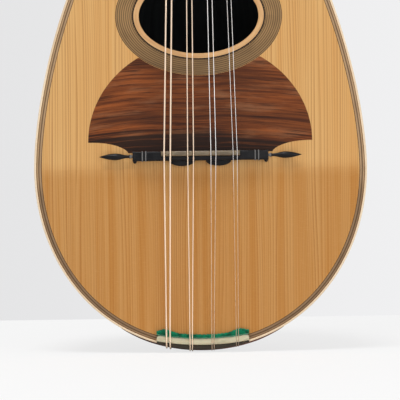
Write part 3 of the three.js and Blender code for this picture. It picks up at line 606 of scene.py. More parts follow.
class Number:
    """A value that changes over a surface. Sums and products written with it add Math nodes."""

    def __init__(self, recipe: Recipe, socket: Socket) -> None:
        """Wraps an output socket of a recipe's node."""
        self.recipe = recipe
        self.socket = socket

    def _math(self, operation: str, *values: Operand) -> Number:
        """A Math node with this operation and these values in order."""
        node = self.recipe.node("ShaderNodeMath", {"operation": operation}, dict(enumerate(values)))
        return Number(self.recipe, node.outputs[0])

    def __add__(self, other: Operand) -> Number:
        """This plus the other."""
        return self._math("ADD", self, other)

    def __sub__(self, other: Operand) -> Number:
        """This less the other."""
        return self._math("SUBTRACT", self, other)

    def __rsub__(self, other: Operand) -> Number:
        """The other less this."""
        return self._math("SUBTRACT", other, self)

    def __mul__(self, other: Operand) -> Number:
        """This times the other."""
        return self._math("MULTIPLY", self, other)

    def __truediv__(self, other: Operand) -> Number:
        """This over the other."""
        return self._math("DIVIDE", self, other)

    def __pow__(self, other: Operand) -> Number:
        """This to the power of the other."""
        return self._math("POWER", self, other)

    __radd__ = __add__
    __rmul__ = __mul__

    def part(self) -> Number:
        """What is left above the whole number below."""
        return self._math("FRACT", self)

    def wave(self) -> Number:
        """The sine of this, in turns, from 0 to 1."""
        return self._math("SINE", self * TURN) * 0.5 + 0.5

    def size(self) -> Number:
        """This without its sign."""
        return self._math("ABSOLUTE", self)

    def clear(self, low: float, high: float) -> Number:
        """A soft step: 0 up to low, 1 from high on.

        Args:
            low, high: where the step starts and ends.

        Returns:
            The step's number.
        """
        limits = {0: self, 1: low, 2: high, 3: 0.0, 4: 1.0}
        node = self.recipe.node("ShaderNodeMapRange", {"interpolation_type": "SMOOTHSTEP"}, limits)
        return Number(self.recipe, node.outputs[0])


Input = Union[Number, Socket, float, int, Sequence[float]]


class Recipe:
    """One material or world and the nodes that make it."""

    def __init__(self, name: str, world: bool = False) -> None:
        """Starts an empty material, or world, with only its output.

        Args:
            name: its name.
            world: whether it is a world.
        """
        self.owner = bpy.data.worlds.new(name) if world else bpy.data.materials.new(name)
        self.owner.use_nodes = True
        self.tree = self.owner.node_tree
        self.tree.nodes.clear()
        self.output = self.tree.nodes.new("ShaderNodeOutputWorld" if world else "ShaderNodeOutputMaterial")

    def node(self, kind: str, settings: dict | None = None, sockets: dict | None = None) -> bpy.types.Node:
        """Adds any node.

        Args:
            kind: the node's type.
            settings: its own settings.
            sockets: values or links for its inputs, by number or name.

        Returns:
            The node.
        """
        made = self.tree.nodes.new(kind)
        for key, value in (settings or {}).items():
            setattr(made, key, value)
        for key, value in (sockets or {}).items():
            value = value.socket if isinstance(value, Number) else value
            if isinstance(value, Socket):
                self.tree.links.new(value, made.inputs[key])
            else:
                made.inputs[key].default_value = value
        return made

    def coordinates(self, source: Reading = Reading.PLACE) -> tuple[Number, Number, Number]:
        """The three coordinates of a point: its place in millimetres, or its pattern's as they are.

        Args:
            source: what they are read from.

        Returns:
            The numbers x, y and z.
        """
        place = self.node("ShaderNodeTexCoord").outputs[source.value]
        split = self.node("ShaderNodeSeparateXYZ", sockets={0: place})
        scale = 1 / MM if source is Reading.PLACE else 1.0
        x, y, z = (Number(self, output) * scale for output in split.outputs)
        return x, y, z

    def noise(
        self, place: Sequence[Operand], detail: float = 2.0, rough: float = 0.5, bend: float = 0.0
    ) -> Number:
        """Smooth noise about 0.5.

        Args:
            place: two or three coordinates, already scaled.
            detail: how many finer layers it has.
            rough: the weight of the finer layers.
            bend: how far it distorts itself.

        Returns:
            The noise.
        """
        vector = self.node("ShaderNodeCombineXYZ", sockets=dict(enumerate(place))).outputs[0]
        sockets = {"Vector": vector, "Scale": 1.0, "Detail": detail, "Roughness": rough, "Distortion": bend}
        return Number(self, self.node("ShaderNodeTexNoise", sockets=sockets).outputs[0])

    def mix(self, share: Operand, first: Input, second: Input) -> Socket:
        """The first colour turned into the second by a share."""
        node = self.node("ShaderNodeMix", {"data_type": "RGBA"}, {0: share, 6: first, 7: second})
        return node.outputs[2]

    def relief(self, height: Number, distance: float, strength: float) -> Socket:
        """The normal of a surface that stands up by height times distance, in metres."""
        sockets = {"Strength": strength, "Distance": distance, "Height": height}
        return self.node("ShaderNodeBump", sockets=sockets).outputs[0]

    def mixed_shader(self, share: Number, first: Socket, second: Socket) -> None:
        """Ends the recipe in the first shader turned into the second by a share."""
        mixed = self.node("ShaderNodeMixShader", sockets={0: share, 1: first, 2: second})
        self.tree.links.new(mixed.outputs[0], self.output.inputs[0])

    def close(self, **sockets: Input) -> Material:
        """Ends the material in one Principled shader.

        Args:
            sockets: its sockets, with underscores for spaces.

        Returns:
            The material.
        """
        named = {key.replace("_", " "): value for key, value in sockets.items()}
        shader = self.node("ShaderNodeBsdfPrincipled", sockets=named)
        self.tree.links.new(shader.outputs[0], self.output.inputs[0])
        return self.owner


class Grain(Enum):
    """Which way the grain of a piece of wood runs."""

    ACROSS = "across the instrument"
    UPWARD = "up the instrument"
    ALONG_PIECE = "along the piece's own pattern"


def grain_places(recipe: Recipe, grain: Grain) -> tuple[Number, Number, Number]:
    """Millimetres along the grain, across it and through the wood.

    Args:
        recipe: the material.
        grain: which way it runs.

    Returns:
        The three values.
    """
    if grain is Grain.ALONG_PIECE:
        return recipe.coordinates(Reading.PATTERN)
    x, y, z = recipe.coordinates()
    return (x, z, y) if grain is Grain.ACROSS else (z, x, y)


@dataclass(frozen=True)
class SpruceFinish:
    """Aged spruce under thin varnish: straight narrow year rings that run up the instrument."""

    early: Colour = srgb(216, 170, 108)
    late: Colour = srgb(148, 90, 38)
    warm: Colour = srgb(204, 146, 78)
    # The brown of the painted shade below the cant.
    brown: Colour = srgb(174, 110, 34)
    ring_width: float = 1.55
    varnish: float = 0.07
    cant_level: float = -338.0

    def make(self, name: str, cant_shade: float = 0.0) -> Material:
        """Year rings are the part of the distance across over their width, bent by slow noise.

        Args:
            name: the material's name.
            cant_shade: how much the wood below the cant is browned by painted shade.

        Returns:
            The material.
        """
        recipe = Recipe(name)
        x, y, z = recipe.coordinates()
        drift = recipe.noise((x / 16, z / 420, y / 40), 1.0)
        waver = recipe.noise((x / 5, z / 190, y / 20), 1.0)
        rings = (x / self.ring_width + drift * 9 + waver * 1.2).part()
        width = recipe.noise((x / 2.6, z / 320))
        patch = recipe.noise((x / 24, z / 120, 3.0)).clear(0.36, 0.66)
        # Ray flecks lighten the wood: partly its own figure, partly a painted sheen.
        fleck_and_sheen = recipe.noise((x / 3.2, z / 0.55, 8.0)).clear(0.52, 0.75)
        broad = recipe.noise((x / 5.5, z / 420, 5.0), 3.0, 0.6).clear(0.4, 0.66)
        # Below the cant the darker rings and the brown mixed in are painted shade, where the canted lower
        # board catches less light.
        low = (self.cant_level - z + recipe.noise((x / 18, 2.0), 1.0) * 3).clear(-4, 9)
        late = rings**2.2 * (width.clear(0.3, 0.66) * 0.72 + 0.13 + low * 0.1)
        wood = recipe.mix(late, self.early, self.late)
        wood = recipe.mix(patch * 0.25 + broad * 0.35, wood, self.warm)
        wood = recipe.mix(low * (broad * 0.24 + cant_shade), wood, self.brown)
        wood = recipe.mix(fleck_and_sheen * 0.12, wood, self.early)
        height = rings * 0.4 + recipe.noise((x / 0.4, z / 6), 1.0) * 0.4
        return recipe.close(
            Base_Color=wood,
            Roughness=width * 0.12 + 0.34,
            Normal=recipe.relief(height, 0.00003, 0.35),
            Specular_IOR_Level=0.2, Coat_Weight=self.varnish, Coat_Roughness=0.2,
        )


@dataclass(frozen=True)
class FiguredWood:
    """Rosewood, mahogany or maple: streaks along the grain, darker bands and fine open pores."""

    light: Colour
    middle: Colour
    dark: Colour
    streak_width: float = 2.4
    streak_length: float = 70.0
    band_share: float = 0.45
    pore_depth: float = 0.5
    roughness: float = 0.34
    varnish: float = 0.15
    gloss: float = 0.3
    low_band: float = 0.0
    low_level: float = -324.5
    vein_share: float = 0.0
    arch: float = 0.0
    arch_reach: float = 65.0
    middle_shade: float = 0.0
    bloom: Colour | None = None

    def make(self, name: str, grain: Grain) -> Material:
        """Streaks and bands are noise stretched along the grain, and pores are its short fine peaks.

        Args:
            name: the material's name.
            grain: which way the grain runs.

        Returns:
            The material.
        """
        recipe = Recipe(name)
        along, across, through = grain_places(recipe, grain)
        if self.arch:
            across = across + along * along * (self.arch / self.arch_reach**2)
        sway = recipe.noise((along / 45, across / 60, through / 30), 1.0) * 5
        place = (along / self.streak_length, (across + sway) / self.streak_width, through / 9)
        streaks = recipe.noise(place, 5.0, 0.62, 0.25)
        place = (along / (self.streak_length * 1.8), (across + sway * 1.6) / 11, through / 20 + 4.0)
        bands = recipe.noise(place, 3.0, 0.55, 0.4).clear(0.48, 0.66)
        pores = recipe.noise((along / 2.6, across / 0.2, through / 0.6)).clear(0.6, 0.72)
        wood = recipe.mix(streaks.clear(0.3, 0.72), self.middle, self.light)
        wood = recipe.mix(bands * self.band_share, wood, self.dark)
        if self.middle_shade:
            wood = recipe.mix((1 - along.size().clear(12, 46)) * self.middle_shade, wood, self.dark)
        if self.bloom:
            patch = recipe.noise((along / 34, across / 9, 21.0), 3.0, 0.6).clear(0.46, 0.7)
            wood = recipe.mix(patch * (1 - bands) * 0.55, wood, self.bloom)
        if self.low_band:
            edge = recipe.noise((along / 60, across / 1.5, 7.0), 3.0, 0.6) * 22
            low = (edge - across - along * 0.035 + self.low_level).clear(0, 7)
            glow = streaks.clear(0.52, 0.72) * 0.45
            wood = recipe.mix(low * (self.low_band - glow), wood, self.dark)
        if self.vein_share:
            veins = recipe.noise((along / 24, (across + sway * 0.3) / 0.75, 11.0)).clear(0.55, 0.68)
            wood = recipe.mix(veins * self.vein_share, wood, self.dark)
        wood = recipe.mix(pores * 0.45, wood, self.dark)
        return recipe.close(
            Base_Color=wood,
            Roughness=streaks * 0.14 + self.roughness,
            Normal=recipe.relief(1 - pores * self.pore_depth + streaks * 0.3, 0.00004, 0.4),
            Specular_IOR_Level=self.gloss, Coat_Weight=self.varnish, Coat_Roughness=0.16,
        )


@dataclass(frozen=True)
class EbonyFinish:
    """Black wood with a satin polish and hardly seen pores."""

    black: Colour = srgb(12, 12, 14)
    worn: Colour = srgb(34, 33, 36)
    # The pale grey of painted highlight rings.
    painted_highlight: Colour = srgb(132, 130, 128)
    painted_highlight_at: Pairs = ()

    def make(self, name: str) -> Material:
        """Fine stretched noise greys the wood and opens its pores; painted highlights are pale rings off the
        middle.

        Args:
            name: the material's name.

        Returns:
            The material.
        """
        recipe = Recipe(name)
        x, y, z = recipe.coordinates()
        streaks = recipe.noise((x / 9, y / 0.9, z / 0.8), 4.0, 0.6)
        handled = recipe.noise((x / 7, y / 7, z / 7)).clear(0.5, 0.75)
        wood = recipe.mix(streaks.clear(0.45, 0.8) * 0.5 + handled * 0.2, self.black, self.worn)
        # Pale rings at the given places are painted highlights.
        for place, reach in self.painted_highlight_at:
            highlight_ring = 1 - (x.size() - place).size().clear(reach * 0.4, reach)
            wood = recipe.mix(highlight_ring * 0.75, wood, self.painted_highlight)
        return recipe.close(
            Base_Color=wood,
            Roughness=streaks * 0.2 + 0.24,
            Normal=recipe.relief(streaks, 0.00004, 0.3),
            Specular_IOR_Level=0.16, Coat_Weight=0.04, Coat_Roughness=0.2,
        )


@dataclass(frozen=True)
class LineInlay:
    """Fine dark and pale lines of wood laid side by side, read across the piece's own pattern."""

    dark: Colour
    pale: Colour
    edge: Colour
    lines: float
    edge_width: float
    darkness: float
    # These three fields darken what lies below a level: painted shade below the cant on the purfling, and a
    # darker bottom on the rosette.
    age: float
    darkening_level: float
    darkening_reach: float

    def make(self, name: str) -> Material:
        """Each line is a wave of the share across; the edges are darker, and so is what lies low: painted
        shade below the cant on the purfling.

        Args:
            name: the material's name.

        Returns:
            The material.
        """
        recipe = Recipe(name)
        along, across, _ = recipe.coordinates(Reading.PATTERN)
        _, _, z = recipe.coordinates()
        waver = recipe.noise((along / 30, across * 3), 1.0) * 0.1
        line = (across * self.lines + 0.25 + waver).wave().clear(0.42, 0.78)
        tone = recipe.noise((along / 14, across * 2, 5.0), 3.0)
        rim = ((across - 0.5).size() * 2).clear(1 - self.edge_width * 2.2, 1 - self.edge_width * 1.4)
        wood = recipe.mix(line * self.darkness, self.pale, self.dark)
        wood = recipe.mix(tone.clear(0.4, 0.75) * 0.25, wood, self.dark)
        # Darker below a level: painted shade below the cant on the purfling; the rosette is only darker
        # towards its bottom.
        wood = recipe.mix((self.darkening_level - z).clear(0, self.darkening_reach) * self.age, wood, self.dark)
        wood = recipe.mix(rim * 0.9, wood, self.edge)
        return recipe.close(
            Base_Color=wood,
            Roughness=tone * 0.1 + 0.36,
            Normal=recipe.relief(line, 0.00002, 0.3),
            Specular_IOR_Level=0.2, Coat_Weight=0.1, Coat_Roughness=0.16,
        )


@dataclass(frozen=True)
class BoneFinish:
    """Bone: a warm white with faint brown streaks and a soft polish."""

    white: Colour = srgb(214, 203, 180)
    stain: Colour = srgb(150, 128, 96)
    stained: float = 0.35

    def make(self, name: str) -> Material:
        """Streaks and cloudy stains are noise at two scales.

        Args:
            name: the material's name.

        Returns:
            The material.
        """
        recipe = Recipe(name)
        x, y, z = recipe.coordinates()
        cloud = recipe.noise((x / 6, y / 4, z / 4), 3.0).clear(0.42, 0.7)
        streak = recipe.noise((x / 5, y / 0.35, z / 0.35)).clear(0.5, 0.75)
        return recipe.close(
            Base_Color=recipe.mix(cloud * self.stained + streak * 0.18, self.white, self.stain),
            Roughness=cloud * 0.15 + 0.3,
            Normal=recipe.relief(streak, 0.00003, 0.25),
            Subsurface_Weight=0.08, Subsurface_Scale=0.002, Coat_Weight=0.2, Coat_Roughness=0.2,
        )


@dataclass(frozen=True)
class FeltFinish:
    """Green wool felt: matted fibres in two tones with a soft bloom."""

    deep: Colour = srgb(14, 70, 50)
    bright: Colour = srgb(14, 138, 98)

    def make(self, name: str) -> Material:
        """Fibres are two crossed layers of stretched noise, which also stand up from the surface.

        Args:
            name: the material's name.

        Returns:
            The material.
        """
        recipe = Recipe(name)
        x, y, z = recipe.coordinates()
        fibres = recipe.noise((x / 0.35, y / 0.5, z / 0.9), 4.0, 0.7, 1.2)
        cross = recipe.noise((x / 1.4, y / 0.6, z / 0.4), 3.0, 0.7, 0.8)
        matt = recipe.noise((x / 4, y / 4, z / 3))
        tone = (fibres * 0.6 + cross * 0.4 + matt * 0.6 - 0.3).clear(0.3, 0.66)
        return recipe.close(
            Base_Color=recipe.mix(tone, self.deep, self.bright),
            Roughness=fibres * 0.1 + 0.85,
            Normal=recipe.relief(fibres + cross, 0.0003, 0.9),
            Sheen_Weight=0.5, Sheen_Roughness=0.4, Specular_IOR_Level=0.15,
        )


@dataclass(frozen=True)
class MetalFinish:
    """A plated or bare metal with fine brushing and a little cloudy tarnish."""

    bright: Colour
    tarnish: Colour
    roughness: float
    tarnished: float

    def make(self, name: str) -> Material:
        """Tarnish is cloudy noise, and brushing is noise stretched along X.

        Args:
            name: the material's name.

        Returns:
            The material.
        """
        recipe = Recipe(name)
        x, y, z = recipe.coordinates()
        cloud = recipe.noise((x / 5, y / 5, z / 5), 4.0, 0.6).clear(0.42, 0.72)
        brushed = recipe.noise((x / 4, y / 0.12, z / 0.12))
        return recipe.close(
            Base_Color=recipe.mix(cloud * self.tarnished, self.bright, self.tarnish),
            Metallic=1.0,
            Roughness=cloud * 0.16 + brushed * 0.08 + self.roughness - 0.04,
            Normal=recipe.relief(brushed, 0.00001, 0.3),
        )


@dataclass(frozen=True)
class StringFinish:
    """A metal string; a wound one shows its turns, and a plain one has a painted reflection of the wood below
    the bridge.
    """

    bright: Colour
    shade: Colour
    turn_length: float = 0.0
    # The wood's colour for the painted reflection below the bridge.
    mirrored: Colour = srgb(214, 180, 146)
    bridge_level: float = -334.0

    def make(self, name: str) -> Material:
        """The winding is the wave of the length over one turn, in colour and in relief.

        Args:
            name: the material's name.

        Returns:
            The material.
        """
        recipe = Recipe(name)
        x, y, z = recipe.coordinates()
        age = recipe.noise((x / 3, y / 3, z / 22)).clear(0.35, 0.75)
        if not self.turn_length:
            # Below the bridge a plain string takes a warm wood colour: a painted reflection of the board.
            below = (self.bridge_level - z).clear(0, 24)
            bare = recipe.mix(age * 0.35, self.bright, self.shade)
            tone = recipe.mix(below * 0.85, bare, self.mirrored)
            return recipe.close(Base_Color=tone, Metallic=0.6, Roughness=age * 0.1 + 0.22)
        along, _, _ = recipe.coordinates(Reading.PATTERN)
        turns = (along / self.turn_length).wave()
        return recipe.close(
            Base_Color=recipe.mix((1 - turns) * 0.35 + age * 0.2, self.bright, self.shade),
            Metallic=0.6,
            Roughness=age * 0.1 + 0.28,
            Normal=recipe.relief(turns, 0.00008, 0.5),
        )


ROSEWOOD = FiguredWood(
    srgb(152, 82, 38),
    srgb(88, 43, 20),
    srgb(30, 18, 13),
    streak_width=1.4,
    streak_length=50.0,
    varnish=0.04,
    gloss=0.12,
    low_band=0.92,
    vein_share=0.7,
    arch=4.5,
    middle_shade=0.34,
    bloom=srgb(142, 98, 68),
)
RIB_ROSEWOOD = FiguredWood(srgb(112, 62, 38), srgb(78, 41, 28), srgb(38, 22, 18), 1.8)
MAHOGANY = FiguredWood(srgb(136, 78, 46), srgb(108, 58, 34), srgb(64, 34, 22), 1.6, 70.0, 0.25, 0.6)
PALE_WOOD = FiguredWood(srgb(206, 160, 108), srgb(184, 134, 84), srgb(132, 88, 50), 1.4, 30.0, 0.2, 0.2)
RING_WOOD = FiguredWood(srgb(216, 172, 120), srgb(200, 152, 100), srgb(156, 108, 64), 1.6, 24.0, 0.3, 0.3)
BINDING_WOOD = FiguredWood(
    srgb(240, 220, 192), srgb(226, 202, 168), srgb(182, 148, 108), 1.2, 40.0, 0.25, 0.2
)
# A dark sheet of painted shade for the inside of the bowl.
DARK_SHADE_LINING = FiguredWood(srgb(58, 62, 64), srgb(46, 50, 53), srgb(28, 31, 33), varnish=0.0, roughness=0.7)
# The purfling is darkened below the cant: painted shade.
PURFLING = LineInlay(
    srgb(70, 44, 22), srgb(176, 144, 108), srgb(46, 29, 15), 2.0, 0.11, 0.75, 0.42, -342.0, 13.0
)
ROSETTE = LineInlay(
    srgb(50, 33, 19), srgb(160, 125, 81), srgb(40, 26, 14), 8.0, 0.05, 0.64, 0.35, -248.0, 34.0
)
SADDLE_BONE = BoneFinish(srgb(122, 107, 82), srgb(76, 63, 45), 0.6)
TAIL_BONE = BoneFinish(srgb(206, 199, 168), srgb(158, 140, 106), 0.4)
DOT_PEARL = BoneFinish(srgb(232, 228, 222), srgb(190, 190, 186), 0.5)
BUTTON_BONE = BoneFinish(srgb(222, 208, 178), srgb(186, 160, 118), 0.5)
BRASS = MetalFinish(srgb(214, 176, 104), srgb(120, 88, 46), 0.26, 0.45)
NICKEL = MetalFinish(srgb(206, 202, 194), srgb(132, 122, 104), 0.22, 0.35)
STEEL = MetalFinish(srgb(198, 200, 204), srgb(120, 118, 116), 0.24, 0.25)
BRONZE_STRING = StringFinish(srgb(255, 236, 212), srgb(232, 184, 142), 0.24)
STEEL_STRING = StringFinish(srgb(255, 252, 250), srgb(222, 206, 194))


@dataclass(frozen=True)
class Placer:
    """What every sub-assembly has: the drawing, and the way to make a surface one of its pieces."""

    drawing: Drawing

    def piece(
        self,
        surface: Surface,
        name: str,
        material: Material,
        slot: str,
        *replaced: str,
        body: str = "root",
        crease: float = CREASE,
    ) -> bpy.types.Object:
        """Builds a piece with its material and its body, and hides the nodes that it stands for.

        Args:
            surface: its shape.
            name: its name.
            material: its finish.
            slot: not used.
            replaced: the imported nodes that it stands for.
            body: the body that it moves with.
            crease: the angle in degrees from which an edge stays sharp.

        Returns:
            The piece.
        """
        made = surface.build(name, self.drawing, crease)
        made.data.materials.append(material)
        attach(made, body)
        if replaced:
            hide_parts(*replaced)
        log.info("%s: %d faces on %s", name, len(made.data.polygons), body)
        return made


@dataclass(frozen=True)
class Soundboard(Placer):
    """The spruce soundboard with its bound edge, inlays and scratch plate."""

    binding_width: float = 1.2
    binding_depth: float = 1.6
    purfling_width: float = 3.25
    purfling_gap: float = 0.05
    hole_half: tuple[float, float] = (35.1, 22.1)
    hole_spread: tuple[float, float] = (1.03, 0.95)
    ring_width: float = 3.0
    line_width: float = 0.8
    rosette_width: float = 10.4
    inlay_depth: float = 0.9
    sunk: float = 0.05
    tuck: float = 0.15
    plate_width: float = 131.2
    plate_rise: float = 59.0
    plate_centre: float = 7.1
    plate_foot: float = 84.4
    plate_drop: float = 6.4
    plate_bend: float = 2.4
    plate_start: float = 0.68
    plate_bevel: float = 0.12
    plate_gap: float = 0.03

    def build(self) -> None:
        """Builds every piece of the soundboard."""
        # 0.44 browns the board below the cant: painted shade.
        spruce = SpruceFinish().make("aged_spruce", 0.44)
        self.piece(self.board(), "spruce_board", spruce, "spruce", "soundboard", crease=3.0)
        pale = BINDING_WOOD.make("binding_wood", Grain.ALONG_PIECE)
        binding = self.along_edge(0, self.binding_width, self.binding_depth, share=False)
        self.piece(binding, "edge_binding_strip", pale, "light_wood", "edge_binding")
        start = self.binding_width + self.purfling_gap
        lines = self.along_edge(start, start + self.purfling_width, self.inlay_depth)
        self.piece(lines, "purfling_lines", PURFLING.make("purfling_lines"), "inlay_wood", "purfling")
        edging = RING_WOOD.make("soundhole_ring_wood", Grain.ALONG_PIECE)
        hole_ring = self.round_hole(0, self.ring_width, share=False)
        self.piece(hole_ring, "soundhole_edging", edging, "light_wood", "soundhole_ring")
        ebony = EbonyFinish(srgb(16, 12, 10), srgb(28, 22, 18)).make("inlaid_ebony")
        line_end = self.ring_width + self.line_width
        self.piece(self.round_hole(self.ring_width, line_end), "soundhole_line", ebony, "ebony")
        band = self.round_hole(line_end, self.ring_width + self.rosette_width)
        self.piece(band, "rosette_lines", ROSETTE.make("rosette_lines"), "inlay_wood", "rosette")
        wood = ROSEWOOD.make("plate_rosewood", Grain.ACROSS)
        plate = self.scratch_plate()
        self.piece(plate, "rosewood_scratch_plate", wood, "rosewood", "scratch_plate", crease=20.0)

    def board(self) -> Surface:
        """The spruce plate.

        Above the cant its face is ruled from the soundhole's ellipse to the outline. Below it is the share
        across times the half width. The back is the same at the thickness, and strips close both edges.

        Returns:
            The surface.
        """
        drawing = self.drawing
        points, normals = drawing.edge()
        points = points + normals * self.tuck
        tail = len(points) // 2
        turn = np.searchsorted(-points[:tail, 1], -drawing.cant_height - TINY)
        right_up, right_low = points[turn::-1], points[turn : tail + 1]
        left_down = right_up[::-1] * [-1, 1]
        crease = np.linspace(left_down[-1], right_up[0], 61)
        top = np.linspace(right_up[-1], left_down[0], 9)
        loop = np.concatenate([crease[:-1], right_up[:-1], top[:-1], left_down])
        centre = np.array([0, drawing.soundhole_centre])
        away = loop - centre
        hole = centre + away / np.linalg.norm(away / self.hole_half, axis=1, keepdims=True)
        lower = placed(right_low[:, :1] * np.linspace(-1, 1, 61), right_low[:, 1:])
        plans = (np.linspace(hole, loop, 7), lower)
        round_tail = [right_low[1:] * [-1, 1], right_low[-2::-1]]
        outline = np.concatenate([right_up[:-1], top[:-1], left_down, *round_tail])
        depths = np.array([self.sunk, drawing.board_thickness])
        faces = (drawing.on_board(plan[..., 0], depth, plan[..., 1]) for depth in depths for plan in plans)
        walls = (drawing.on_board(edge[:, 0], depths[:, None], edge[:, 1]) for edge in (outline, hole))
        return Surface(*faces, *walls)

    def along_edge(self, outer: float, inner: float, depth: float, share: bool = True) -> Surface:
        """A strip inside the outline: a soft rectangle carried along it at two insets.

        Args:
            outer, inner: the insets of its sides.
            depth: how deep it lies.
            share: whether the pattern runs from 0 to 1 across it, or in millimetres.

        Returns:
            The surface, patterned by its length.
        """
        points, normals = self.drawing.edge()
        section = rounded((inner - outer) / 2, depth / 2, 9.0) + [(inner + outer) / 2, depth / 2]
        plan = points[:, None] + normals[:, None] * section[:, :1]
        grid = self.drawing.on_board(plan[..., 0], section[:, 1], plan[..., 1])
        return self.patterned(grid, running_length(points), section, share, ends=True)

    def round_hole(self, inner: float, outer: float, share: bool = True) -> Surface:
        """A ring round the soundhole: a soft rectangle carried round ellipses at two distances from it.

        Args:
            inner, outer: the distances of its sides from the soundhole's edge.
            share: whether the pattern runs from 0 to 1 across it, or in millimetres.

        Returns:
            The surface, patterned by its length.
        """
        angle = np.linspace(0, TURN, 241)[:, None]
        middle = self.inlay_depth / 2
        section = rounded((outer - inner) / 2, middle, 14.0) + [(inner + outer) / 2, middle]
        across, rise = self.around_hole(section[:, 0])
        x, z = across * np.cos(angle), self.drawing.soundhole_centre + rise * np.sin(angle)
        length = angle[:, 0] * sum(self.hole_half) / 2
        return self.patterned(self.drawing.on_board(x, section[:, 1], z), length, section, share, ends=False)

    def patterned(self, grid: Array, length: Array, section: Array, share: bool, ends: bool) -> Surface:
        """A strip whose pattern is the length and the place across.

        Args:
            grid: its points.
            length: the length at each row.
            section: the section's points (k, 2).
            share: whether the place across runs from 0 to 1.
            ends: whether its ends are closed.

        Returns:
            The strip.
        """
        across = section[:, 0]
        if share:
            across = (across - across.min()) / np.ptp(across)
        strip = ring(grid), ring(placed(length[:, None], across))
        return Surface().grid(*(map(capped, strip) if ends else strip))

    def around_hole(self, distance: Array | float) -> tuple[Array | float, Array | float]:
        """Half width and half height of the ellipse at a distance from the soundhole's edge."""
        (half_x, half_z), (spread_x, spread_z) = self.hole_half, self.hole_spread
        return half_x + distance * spread_x, half_z + distance * spread_z

    def scratch_plate(self) -> Surface:
        """The rosewood plate, as sections across X.

        Its top is the lower of a half ellipse and the rosette's edge. Its bottom is flat over the bridge,
        then rises to each corner as (1 - (1 - share) ** bend) ** start of the share across. Each section is
        a rectangle with bevelled front edges.

        Returns:
            The surface.
        """
        drawing = self.drawing
        centre = drawing.saddle_height + self.plate_centre
        half, foot = self.plate_width / 2, self.plate_foot / 2
        bottom = centre - self.plate_drop
        x = np.concatenate([half * np.sin(np.linspace(0, math.pi / 2, 90)), foot + np.linspace(0, 3, 10)])
        x = np.unique(np.concatenate([-x, x]))
        reach = np.abs(x)
        share = np.clip((reach - foot) / (half - foot), 0, 1)
        low = bottom + (centre - bottom) * (1 - (1 - share) ** self.plate_bend) ** self.plate_start
        top = centre + self.plate_rise * np.sqrt(np.maximum(1 - (reach / half) ** 2, 0))
        across, rise = self.around_hole(self.ring_width + self.rosette_width + self.plate_gap)
        notch = drawing.soundhole_centre - np.sqrt(np.maximum(1 - (reach / across) ** 2, 0)) * rise
        high = np.maximum(np.minimum(top, np.where(reach < across, notch, top)), low)
        bevel = np.minimum(self.plate_bevel, (high - low) / 2)
        front, back = self.plate_bevel, self.inlay_depth
        z = placed(low, low + bevel, high - bevel, high, high, low)
        return Surface(ring(placed(x[:, None], np.array([front, 0, 0, front, back, back]), z)))


